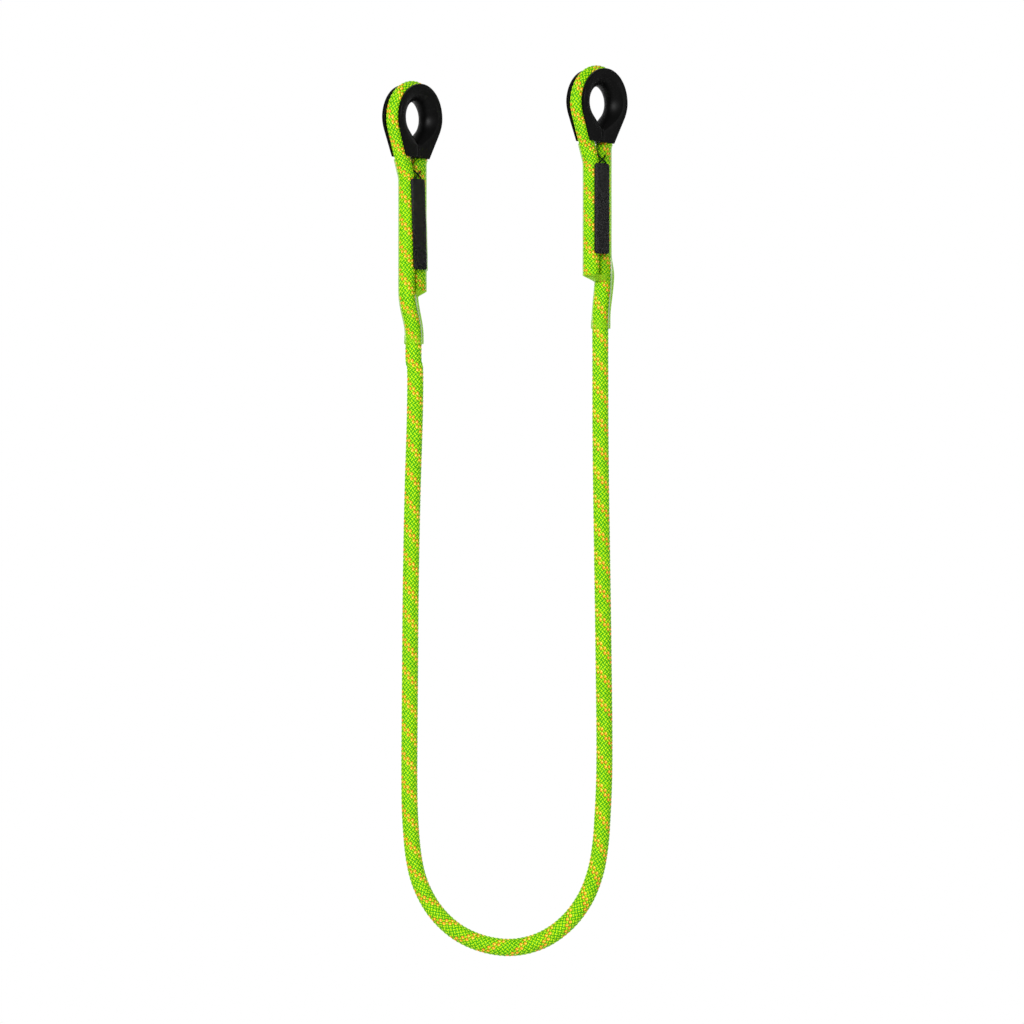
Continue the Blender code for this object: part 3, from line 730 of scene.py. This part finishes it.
def lace_points(end, way):
    """Corners of a thread that crosses the front, goes through a leg and crosses the back."""
    near = end["standing"] * way
    corners = ((near, -1, 0), (0, -1, 0.25), (-near, -1, 0.5), (-near, 0, 0.5),
               (-near, 1, 0.5), (0, 1, 0.75), (near, 1, 1), (near, 0, 1))
    points = []
    for i in range(STITCH_COUNT):
        top = STITCH_TOP_DROP + i * STITCH_PITCH
        for leg, y, down in corners:
            drop = top + STITCH_PITCH * down
            inside_leg = leg_spread(leg, drop) - LEG_X + STITCH_HALF_WIDTH if leg else 0
            bulge = 0 if leg else CROSS_LIFT * way
            points.append(Vector((leg * inside_leg, y * (STITCH_DEPTH + bulge), -drop)))
    return points


def lacing(side, end):
    curve = bpy.data.curves.new(side + "_lacing", "CURVE")
    curve.dimensions = "3D"
    curve.bevel_depth = THREAD_R
    curve.bevel_resolution = 3
    curve.use_fill_caps = True
    curve.resolution_u = 5
    for way in (1, -1):
        points = lace_points(end, way)
        spline = curve.splines.new("BEZIER")
        spline.bezier_points.add(len(points) - 1)
        for knot, point in zip(spline.bezier_points, points):
            knot.co = point
            knot.handle_left_type = knot.handle_right_type = "AUTO"
    holder = bpy.data.objects.new(side + "_lacing", curve)
    bpy.context.scene.collection.objects.link(holder)
    made = holder.evaluated_get(bpy.context.evaluated_depsgraph_get())
    mesh = bpy.data.meshes.new_from_object(made)
    bpy.data.objects.remove(holder, do_unlink=True)
    return fit_to_end(piece_of(side + "_lacing", mesh), side, "stitching")


lacings = at_both_ends(lacing)

# %% [markdown]
# A smooth black strip protects the stitching. It lies flat over the seam between the legs and
# follows each leg a little way round. The strip starts as a flat sheet: its corners are rounded
# first, then it is bent over the legs, and a Solidify modifier gives it its thickness.

# %% Lay the cover strips
STRIP_TOP_DROP = 0.0435
STRIP_LENGTH = 0.0600
STRIP_WIDTH = 0.0128
STRIP_T = 0.0009
STRIP_BACK_R = SEWN_R + GAP
STRIP_CORNER = 0.0018
STRIP_EDGE = 0.00025
STRIP_ACROSS = 20  # parts that the sheet is cut into, so that it can bend
STRIP_ALONG = 12


def over_legs(across, radius):
    """A point this far across a strip that is flat over the seam and follows the legs outside."""
    angle = max(abs(across) - LEG_X, 0) / STRIP_BACK_R
    x = min(abs(across), LEG_X) + radius * math.sin(angle)
    return math.copysign(x, across), -radius * math.cos(angle)


def strip_middle(end, drop):
    """How far off the seam the strip's middle lies at this depth."""
    return end["strip_x"] + (drop - STRIP_TOP_DROP - STRIP_LENGTH / 2) * math.tan(end["strip_lean"])


def cover_strip(side, end):
    bm = bmesh.new()
    bmesh.ops.create_grid(bm, x_segments=1, y_segments=1, size=0.5)
    bmesh.ops.scale(bm, vec=(STRIP_WIDTH, STRIP_LENGTH, 1), verts=bm.verts)
    bmesh.ops.bevel(bm, geom=bm.verts, offset=STRIP_CORNER, segments=6, profile=0.5,
                    affect="VERTICES", material=-1)
    cuts = [((STRIP_WIDTH * i / STRIP_ACROSS, 0, 0), (1, 0, 0))
            for i in range(1 - STRIP_ACROSS // 2, STRIP_ACROSS // 2)]
    cuts += [((0, STRIP_LENGTH * (i / STRIP_ALONG - 0.5), 0), (0, 1, 0))
             for i in range(1, STRIP_ALONG)]
    for place, way in cuts:
        bmesh.ops.bisect_plane(bm, geom=[*bm.verts, *bm.edges, *bm.faces], dist=0.000001,
                               plane_co=place, plane_no=way)
    for vert in bm.verts:
        drop = STRIP_TOP_DROP + STRIP_LENGTH / 2 - vert.co.y
        x, y = over_legs(vert.co.x + strip_middle(end, drop), STRIP_BACK_R)
        vert.co = (x, y, -drop)
    bmesh.ops.recalc_face_normals(bm, faces=bm.faces)
    if sum(f.normal.y for f in bm.faces) > 0:
        bmesh.ops.reverse_faces(bm, faces=bm.faces)
    piece = new_piece(side + "_smooth_strip", bm)
    wall = piece.modifiers.new("thickness", "SOLIDIFY")
    wall.thickness = STRIP_T
    wall.offset = 1
    edge = piece.modifiers.new("edge", "BEVEL")
    edge.width = STRIP_EDGE
    edge.segments = 2
    edge.limit_method = "ANGLE"
    edge.angle_limit = math.radians(50)
    return fit_to_end(piece, side, "cover_strip")


strips = at_both_ends(cover_strip)

# %% [markdown]
# Clear film is shrunk over the sewn part with hot air. It pulls tight from leg to leg and over
# the strip. Under the end of the tail it forms a web that runs down to the single rope and keeps
# a fold of spare film. At each depth the film's outline is the tightest loop round the circles
# and points that it holds, which is their convex hull.

# %% Find the film's outline at a depth
FILM_T = 0.0003
FILM_SIDES = 96
FILM_GAP = 0.0001
FOLD_X = 0.0024  # spare film under the tail, on the side of +X
FOLD_RUN = 0.0150  # how far above the tail's end it begins
FOLD_LOSS = 0.6  # and the share of it that is gone at the mouth
SEAL_RUN = 1.4 * SEAL_LENGTH  # depth in which the film closes in under the tail
MOUTH_FLARE = 0.0003
FILM_STEP = 0.0010
CIRCLE_STEPS = 120
BOW_STEPS = 16
HORN_GAP = 0.0007  # from the lower corner of a horn down to the film
CORNER_X = HORN_ROPE_X + FLANGE_RISE / math.cos(HORN_ANGLE)
CORNER_DROP = THIMBLE_DROP * math.cos(EYE_TILT) + CORNER_X * math.sin(EYE_TILT)
SLEEVE_TOP_DROP = CORNER_DROP + HORN_GAP


def slanted(radius, place, drop):
    """Half the level width of a rope whose centre line leans as place(drop) does."""
    step = 0.0005
    return radius * math.hypot(1, (place(drop + step) - place(drop - step)) / (2 * step))


def held_circles(end, drop):
    """Centre and half width of what the film holds at this depth."""
    standing = partial(standing_x, end)
    if drop < DRIFT_DROP:
        legs = [(leg * leg_spread(leg, drop), slanted(SEWN_R, partial(leg_spread, leg), drop))
                for leg in (-1, 1)]
        spare = FOLD_X * eased(1 - (DRIFT_DROP - drop) / FOLD_RUN)
        return legs if end["standing"] < 0 else [*legs, (LEG_X + spare, SEWN_R)]
    below = drop - DRIFT_DROP
    fold_x = standing(drop) + FOLD_X * (1 - FOLD_LOSS * below / (SLEEVE_DROP - DRIFT_DROP))
    tail_x = -end["standing"] * LEG_X
    tail_x += ((fold_x if tail_x > 0 else standing(drop)) - tail_x) * min(below / SEAL_RUN, 1)
    rope_r = FREE_R if drop > STRAIGHT_DROP else SEWN_R
    return [(standing(drop), slanted(rope_r, standing, drop)), (tail_x, SEWN_R), (fold_x, SEWN_R)]


def strip_bow(end, drop):
    """Points just outside the cover strip at this depth."""
    out = STRIP_BACK_R + STRIP_T + FILM_GAP
    return [Vector(over_legs(strip_middle(end, drop) + STRIP_WIDTH * (i / BOW_STEPS - 0.5), out))
            for i in range(BOW_STEPS + 1)]


def outline_point(hull, middle, angle):
    """Where a ray from the middle leaves the hull."""
    ray = Vector((math.cos(angle), math.sin(angle)))
    reach = 0.0
    for start, stop in zip(hull, hull[1:] + hull[:1]):
        side = stop - start
        across = ray.cross(side)
        if abs(across) < 1e-12:
            continue
        share = (start - middle).cross(ray) / across
        if -1e-6 <= share <= 1 + 1e-6:
            reach = max(reach, (start - middle).cross(side) / across)
    return middle + ray * reach


def film_outline(end, drop):
    """The film's outline round all that it holds at this depth, point by point."""
    circles = held_circles(end, drop)
    flare = MOUTH_FLARE * max(0, 1 - (SLEEVE_DROP - drop) / (2 * FREE_R))
    cloud = []
    for x, radius in circles:
        cloud += arc((x, 0), radius + FILM_GAP + flare, 0, math.tau, CIRCLE_STEPS)[:-1]
    if -STRIP_T <= drop - STRIP_TOP_DROP <= STRIP_LENGTH + STRIP_T:
        cloud += strip_bow(end, drop)
    hull = [cloud[i] for i in convex_hull_2d(cloud)]
    middle = Vector(((min(circles)[0] + max(circles)[0]) / 2, 0))
    return [outline_point(hull, middle, math.tau * (i + 0.5) / FILM_SIDES) for i in range(FILM_SIDES)]


print("points held under the strip:", len(strip_bow(ENDS["left"], STRIP_TOP_DROP)))

# %% [markdown]
# The outlines are pulled into a tube as the thimble's sections were. Heat leaves faint dents, so
# the film gets a small smooth unevenness on its outside before Solidify adds its wall. It also
# notes at each point how much film has gathered there, because that is where it turns cloudy.

# %% Shrink the film on
GATHER_RISE = 0.0006  # film that stands this far off the rope has gathered
DENT = 0.00006
DENTS = Vector((160, 160, 90))  # in a metre, round the film and along it


def gathered_share(end, place):
    """How much film has gathered at a point, from 0 to 1."""
    drop = -place.z
    rope_x = standing_x(end, drop)
    in_fold = end["standing"] > 0 and place.x > rope_x
    if drop <= TAIL_DROP and not in_fold:
        return 0
    off = math.hypot(place.x - rope_x, place.y) - FREE_R - FILM_GAP
    opening = min(max((drop - TAIL_DROP) / FOLD_RUN + 1, 0), 1)
    return opening * min(max(off / GATHER_RISE, 0), 1)


def clear_sleeve(side, end):
    count = round((SLEEVE_DROP - SLEEVE_TOP_DROP) / FILM_STEP)
    bm = bmesh.new()
    sections = []
    for i in range(count + 1):
        drop = SLEEVE_TOP_DROP + (SLEEVE_DROP - SLEEVE_TOP_DROP) * i / count
        sections.append([Vector((p.x, p.y, -drop)) for p in film_outline(end, drop)])
    pull_sections(bm, sections)
    gathered = bm.verts.layers.float.new("gathered")
    for vert in bm.verts:
        vert[gathered] = gathered_share(end, vert.co)
        around = Vector((vert.co.x, vert.co.y, 0)).normalized()
        vert.co += around * DENT * (1 + noise.noise(vert.co * DENTS))
    bmesh.ops.recalc_face_normals(bm, faces=bm.faces)
    piece = new_piece(side + "_shrunk_sleeve", bm)
    wall = piece.modifiers.new("film", "SOLIDIFY")
    wall.thickness = FILM_T
    wall.offset = 1
    return fit_to_end(piece, side, "clear_sleeve")


sleeves = at_both_ends(clear_sleeve)

# %% [markdown]
# Materials come next. One function turns the colour that a designer would pick, a hex value, to
# the linear value that the renderer works in, and one adds a node with its settings and links.
# The helpers after it all go through that one. Each pattern has its size in millimetres.

# %% Helpers for materials
def linear(hex_value):
    """Linear colour of an sRGB hex value."""
    parts = [int(hex_value[i:i + 2], 16) / 255 for i in (1, 3, 5)]
    return (*[c / 12.92 if c <= 0.04045 else ((c + 0.055) / 1.055) ** 2.4 for c in parts], 1)


def new_material(name, colour, roughness, **sockets):
    made = bpy.data.materials.new(name)
    made.use_nodes = True
    shader = made.node_tree.nodes["Principled BSDF"]
    shader.inputs["Base Color"].default_value = linear(colour)
    shader.inputs["Roughness"].default_value = roughness
    for socket, value in sockets.items():
        shader.inputs[socket.replace("_", " ")].default_value = value
    return made, made.node_tree, shader


def add_node(tree, kind, inputs=(), **settings):
    """Add a node, set its properties, and set or link its inputs."""
    node = tree.nodes.new("ShaderNode" + kind)
    for name, value in settings.items():
        setattr(node, name, value)
    for socket, value in dict(inputs).items():
        if isinstance(value, bpy.types.NodeSocket):
            tree.links.new(value, node.inputs[socket])
        else:
            node.inputs[socket].default_value = value
    return node


def maths(tree, operation, *values):
    """Add a Math node for these values and return its result."""
    return add_node(tree, "Math", dict(enumerate(values)), operation=operation).outputs[0]


def cells(millimetres):
    """Scale of a pattern whose cells are this wide, in a scene in metres."""
    return 1000 / millimetres


def noise_at(tree, scale, detail, place=None):
    """Add noise at this place, or over the whole object."""
    if place is None:
        place = add_node(tree, "TexCoord").outputs["Object"]
    return add_node(tree, "TexNoise", {0: place, 2: scale, 3: detail}).outputs[0]


def ramp(tree, value, places, colours):
    """Turn a value into these colours, each at its place."""
    node = add_node(tree, "ValToRGB", {0: value})
    stops = node.color_ramp.elements
    for place in places[1:-1]:
        stops.new(place)
    for stop, place, colour in zip(stops, places, colours):
        stop.position = place
        stop.color = linear(colour)
    return node.outputs[0]


def emboss(tree, shader, height, strength, distance):
    """Let a height bend the light, for a relief too fine to model."""
    bump = add_node(tree, "Bump", {"Height": height, "Strength": strength, "Distance": distance})
    tree.links.new(bump.outputs[0], shader.inputs["Normal"])


def cover(pieces, finish):
    for piece in pieces:
        piece.data.materials.append(finish)
    print(finish.name, "covers", [piece.name for piece in pieces])


# %% [markdown]
# The sheath is braided polyamide, dyed a vivid yellow-green, with an orange and yellow tracer.
# The material counts strands just as the relief does. From the UV map it works out which strand
# is on top, where across it and along its float a point lies, and from these it gets the two
# yarns side by side in each strand and the two pairs of tracer strands that wind round on
# opposite sides. Light and shade are painted into the colour from the same numbers: painted shade
# between the two yarns and towards each float's ends, where the gaps are, and a painted highlight
# on the crests.

# %% Braided polyamide for the sheath
# Each of these three runs from a painted shade in the gaps, through the dye's own colour on the yarns,
# to a painted highlight on their crests.
GREENS = ("#1a8a00", "#68c400", "#dcf80a")  # in the gaps, on the yarns, on their crests
YELLOWS = ("#b98a00", "#f2cc16", "#fff26a")
ORANGES = ("#a83a04", "#ee8a0a", "#ffd040")
# Places on each ramp of the painted shade, the dye's own colour and the painted highlight.
SHADE_TO_HIGHLIGHT_PLACES = (0.05, 0.42, 0.95)
LAYS_APART = STRANDS // 2  # strands from one tracer pair to the next
# Painted shade: the colour is darkened between a strand's two yarns.
SHADE_BETWEEN_YARNS = 0.45  # tone between a strand's two yarns, for 1 on a yarn
# It shapes the bump and also a painted shade towards each float's ends.
FLOAT_BOW = 2.2  # how soon a float darkens towards its two ends
FILAMENTS = (26.0, 2.0, 40.0)  # 26 across a strand of 2.9 mm, so 0.11 mm each
FILAMENT_TONE = 0.45  # how much filaments vary in tone
STRAND_TONE = 0.16  # and how much strands do
# The span of tone that the painted shade, the painted highlight and the random tone run across.
DARKEST, BRIGHTEST = 0.20, 1.35


def braided_polyamide():
    made, tree, shader = new_material("braided_polyamide", GREENS[1], 0.38, Specular_IOR_Level=0.12)
    calc = partial(maths, tree)
    uv = add_node(tree, "UVMap", uv_map="strands")
    split = add_node(tree, "SeparateXYZ", {0: uv.outputs[0]})
    a, b = split.outputs[0], split.outputs[1]
    one = calc("SUBTRACT", a, b)
    other = calc("ADD", a, b)
    one_whole = calc("FLOOR", one)
    other_whole = calc("FLOOR", other)
    one_part = calc("SUBTRACT", one, one_whole)
    other_part = calc("SUBTRACT", other, other_whole)
    crossing = calc("FLOORED_MODULO", calc("ADD", one_whole, other_whole), 2.0)
    on_top = calc("LESS_THAN", crossing, 0.5)
    across = add_node(tree, "Mix", {0: on_top, 2: other_part, 3: one_part}).outputs[0]
    run = add_node(tree, "Mix", {0: on_top, 2: one_part, 3: other_part}).outputs[0]

    # Painted shade in the groove between the two yarns, and towards each float's ends where it dives
    # under.
    yarn_rise = calc("ABSOLUTE", calc("SINE", calc("MULTIPLY", across, math.tau)))
    yarn = add_node(tree, "MapRange", {0: yarn_rise, 3: SHADE_BETWEEN_YARNS, 4: 1.0}).outputs[0]
    bow_wave = calc("SINE", calc("MULTIPLY", run, math.pi))
    crest = calc("MULTIPLY", yarn, calc("POWER", bow_wave, FLOAT_BOW))

    number = add_node(tree, "CombineXYZ", {0: one_whole, 1: other_whole, 2: on_top}).outputs[0]
    chance = add_node(tree, "TexWhiteNoise", {0: number}, noise_dimensions="3D").outputs[0]
    fibres = add_node(tree, "CombineXYZ", {0: across, 1: run, 2: chance}).outputs[0]
    stretched = add_node(tree, "Mapping", {0: fibres, 3: FILAMENTS}).outputs[0]
    filament = noise_at(tree, 1.0, 2.0, stretched)

    # The crest's painted shade and highlight, with random filament and strand tone added.
    lit = calc("MULTIPLY_ADD", filament, FILAMENT_TONE, crest)
    lit = calc("MULTIPLY_ADD", chance, STRAND_TONE, lit)
    tone = add_node(tree, "MapRange", {0: lit, 1: DARKEST, 2: BRIGHTEST}).outputs[0]
    # Each dye's colour, from its painted shade up to its painted highlight, picked by the tone.
    green, yellow, orange = [ramp(tree, tone, SHADE_TO_HIGHLIGHT_PLACES, shaded_dye) for shaded_dye in (GREENS, YELLOWS, ORANGES)]
    lay_number = calc("FLOORED_MODULO", one_whole, float(LAYS_APART))
    in_pair = calc("LESS_THAN", lay_number, 1.5)
    dyed = calc("MULTIPLY", in_pair, on_top)
    second = calc("GREATER_THAN", across, 0.5)
    tracer = add_node(tree, "Mix", {0: second, 6: yellow, 7: orange}, data_type="RGBA").outputs[2]
    colour = add_node(tree, "Mix", {0: dyed, 6: green, 7: tracer}, data_type="RGBA").outputs[2]
    tree.links.new(colour, shader.inputs["Base Color"])
    emboss(tree, shader, calc("MULTIPLY_ADD", filament, 0.35, crest), strength=0.55, distance=0.00025)
    return made


cover([left_rope, right_rope, *eye_ropes.values()], braided_polyamide())

# %% [markdown]
# The core's strands are undyed polyamide, off-white and a little silky.

# %% Undyed polyamide for the core
def undyed_polyamide():
    made, tree, shader = new_material("undyed_polyamide", "#ecebe2", 0.6, Sheen_Weight=0.2)
    grain = noise_at(tree, cells(1.11), 3.0)
    shade = ramp(tree, grain, (0.0, 1.0), ("#cfcdc0", "#f4f3ea"))
    tree.links.new(shade, shader.inputs["Base Color"])
    return made


core_nodes = [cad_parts[side + "_eye_core"] for side in ENDS]
for node in core_nodes:
    node.data.materials.clear()
cover([left_core, right_core, *core_nodes], undyed_polyamide())

# %% [markdown]
# The thimble is moulded nylon, satin black. Real black plastic isn't perfectly even: its edges are
# polished by what is clipped in, so the roughness drifts slowly from place to place, and the
# mould gives it a fine grain. The real grain is finer than a pixel, so it is drawn this coarse.

# %% Moulded nylon for the thimbles
def moulded_nylon():
    made, tree, shader = new_material("moulded_nylon", "#040404", 0.40, Specular_IOR_Level=0.09)
    drift = noise_at(tree, cells(7.14), 3.0)
    gloss = add_node(tree, "MapRange", {0: drift, 1: 0.3, 2: 0.7, 3: 0.36, 4: 0.46}).outputs[0]
    tree.links.new(gloss, shader.inputs["Roughness"])
    emboss(tree, shader, noise_at(tree, cells(0.385), 2.0), strength=0.12, distance=0.00008)
    return made


cover(thimbles.values(), moulded_nylon())

# %% [markdown]
# The strip is extruded polymer, smoother than the thimble, with faint draw lines along it. They
# are finer than a pixel, so they are drawn this coarse.

# %% Extruded polymer for the strips
def extruded_polymer():
    made, tree, shader = new_material("extruded_polymer", "#060606", 0.40, Specular_IOR_Level=0.3)
    place = add_node(tree, "TexCoord").outputs["Object"]
    drawn = add_node(tree, "Mapping", {0: place, 3: (1.0, 1.0, 0.04)}).outputs[0]
    emboss(tree, shader, noise_at(tree, cells(1.67), 2.0, drawn), strength=0.08, distance=0.00008)
    return made


cover(strips.values(), extruded_polymer())

# %% [markdown]
# Bonded thread is black, with the twist of its plies showing as fine slanting lines, 0.9 mm from
# one to the next. A diagonal band of a Wave texture is a tenth of tau wide at a scale of 1.

# %% Bonded thread for the lacing
PLY_PITCH = 0.0009


def bonded_thread():
    made, tree, shader = new_material("bonded_thread", "#080808", 0.7, Specular_IOR_Level=0.15)
    place = add_node(tree, "TexCoord").outputs["Object"]
    scale = math.tau / 10 / PLY_PITCH
    plies = add_node(tree, "TexWave", {0: place, 1: scale, 2: 1.0}, bands_direction="DIAGONAL")
    emboss(tree, shader, plies.outputs[1], strength=0.5, distance=0.0001)
    return made


cover(lacings.values(), bonded_thread())

# %% [markdown]
# Where the tail was melted, the dyed yarns ran together: mostly green, with smears of orange
# where the tracer was, and glossier than the braid.

# %% Melted polyamide for the tails
SMEARS = ("#5f9c08", "#8cc414", "#e58a1c", "#c4420e")


def melted_polyamide():
    made, tree, shader = new_material("melted_polyamide", "#7fb40f", 0.35)
    smear = noise_at(tree, cells(4.35), 3.0)
    dye = ramp(tree, smear, (0.40, 0.52, 0.60, 0.72), SMEARS)
    tree.links.new(dye, shader.inputs["Base Color"])
    return made


cover(seals.values(), melted_polyamide())

# %% [markdown]
# The sleeve is clear heat-shrink film. Face on it nearly vanishes, and edge on it turns hazy,
# because light crosses more of it. Layer Weight gives that, as it does for glass. Where spare
# film has gathered it is cloudy too. Its green is painted light: the green of the rope behind it,
# seen through the film and reflected in it, painted into the haze and the gathered film.

# %% Clear film for the sleeves
HAZE_FROM = 0.45  # how far a surface faces away where its haze begins
EDGE_HAZE = 0.85
GATHERED_HAZE = 0.40


def clear_film():
    # The green base colour is painted light from the rope, seen through the film and reflected in it.
    made, tree, shader = new_material("clear_film", "#a0dc24", 0.45, Specular_IOR_Level=0.05)
    edge = add_node(tree, "LayerWeight", {0: 0.5}).outputs["Facing"]
    haze = add_node(tree, "MapRange", {0: edge, 1: HAZE_FROM, 2: 1.0, 3: 0.0, 4: EDGE_HAZE}).outputs[0]
    gathered = add_node(tree, "Attribute", attribute_name="gathered").outputs["Fac"]
    thick = maths(tree, "MULTIPLY_ADD", gathered, GATHERED_HAZE, haze)
    tree.links.new(thick, shader.inputs["Alpha"])
    emboss(tree, shader, noise_at(tree, cells(3.125), 2.0), strength=0.25, distance=0.0002)
    return made


cover(sleeves.values(), clear_film())

# %% [markdown]
# White paper hangs behind the lanyard and runs forward under it in one sweep, so there is no line
# where wall meets floor. To the camera it is pure white, and to everything else it is matt paper
# that throws some light back. From behind it is open, so the lanyard can be seen from there too.

# %% Hang the paper
PAPER_WIDTH = 6.0
PAPER_FRONT = -4.0
PAPER_BACK = 1.3
PAPER_FLOOR = -0.95
PAPER_TOP = 3.0
SWEEP_R = 0.6


def paper_sweep():
    bm = bmesh.new()
    profile = [Vector((PAPER_FRONT, PAPER_FLOOR))]
    profile += arc((PAPER_BACK - SWEEP_R, PAPER_FLOOR + SWEEP_R), SWEEP_R, -math.pi / 2, 0, 16)
    profile.append(Vector((PAPER_BACK, PAPER_TOP)))
    line = [bm.verts.new((-PAPER_WIDTH / 2, p.x, p.y)) for p in profile]
    edges = [bm.edges.new(pair) for pair in zip(line, line[1:])]
    pulled = bmesh.ops.extrude_edge_only(bm, edges=edges)["geom"]
    moved = [v for v in pulled if isinstance(v, bmesh.types.BMVert)]
    bmesh.ops.translate(bm, vec=(PAPER_WIDTH, 0, 0), verts=moved)
    bm.normal_update()
    if sum(face.normal.y for face in bm.faces) > 0:
        bmesh.ops.reverse_faces(bm, faces=bm.faces)
    return new_piece("paper", bm)


def matt_paper():
    made, tree, shader = new_material("matt_paper", "#f4f4f4", 0.9)
    seen = add_node(tree, "LightPath").outputs["Is Camera Ray"]
    white = add_node(tree, "Emission", {1: 1.0}).outputs[0]
    front = add_node(tree, "MixShader", {0: seen, 1: shader.outputs[0], 2: white}).outputs[0]
    behind = add_node(tree, "NewGeometry").outputs["Backfacing"]
    opening = add_node(tree, "BsdfTransparent").outputs[0]
    one_sided = add_node(tree, "MixShader", {0: behind, 1: front, 2: opening}).outputs[0]
    tree.links.new(one_sided, tree.nodes["Material Output"].inputs[0])
    return made


paper = paper_sweep()
cover([paper], matt_paper())

# %% [markdown]
# Three square lamps light it as a product is lit. The key stands in front, high on the left, the
# fill lifts the right side a little, and a weak one behind draws a thin rim. The world's white is
# for the camera only: the lanyard gets just a part of it, as dim light from all round.

# %% Set the light
LIT_PLACE = Vector((0.06, 0, -0.26))
WORLD_SHARE = 0.3


def softbox(name, place, size, power):
    light = bpy.data.lights.new(name, "AREA")
    light.shape = "SQUARE"
    light.size = size
    light.energy = power
    made = bpy.data.objects.new(name, light)
    made.location = place
    made.rotation_euler = (LIT_PLACE - Vector(place)).to_track_quat("-Z", "Y").to_euler()
    bpy.context.scene.collection.objects.link(made)
    print(name, "lamp of", power, "W, a square of", size, "m")


softbox("key", (-0.8, -2.1, 0.8), size=0.9, power=58)
softbox("fill", (1.8, -0.9, 0.1), size=1.2, power=8)
softbox("rim", (1.2, 1.05, 0.2), size=0.9, power=3)

world = bpy.context.scene.world or bpy.data.worlds.new("studio")
bpy.context.scene.world = world
world.use_nodes = True
sky = world.node_tree.nodes["Background"]
sky.inputs[0].default_value = (1, 1, 1, 1)
looked_at = add_node(world.node_tree, "LightPath").outputs["Is Camera Ray"]
level = add_node(world.node_tree, "MapRange", {0: looked_at, 3: WORLD_SHARE, 4: 1.0}).outputs[0]
world.node_tree.links.new(level, sky.inputs[1])
bpy.context.scene.view_settings.view_transform = "Standard"
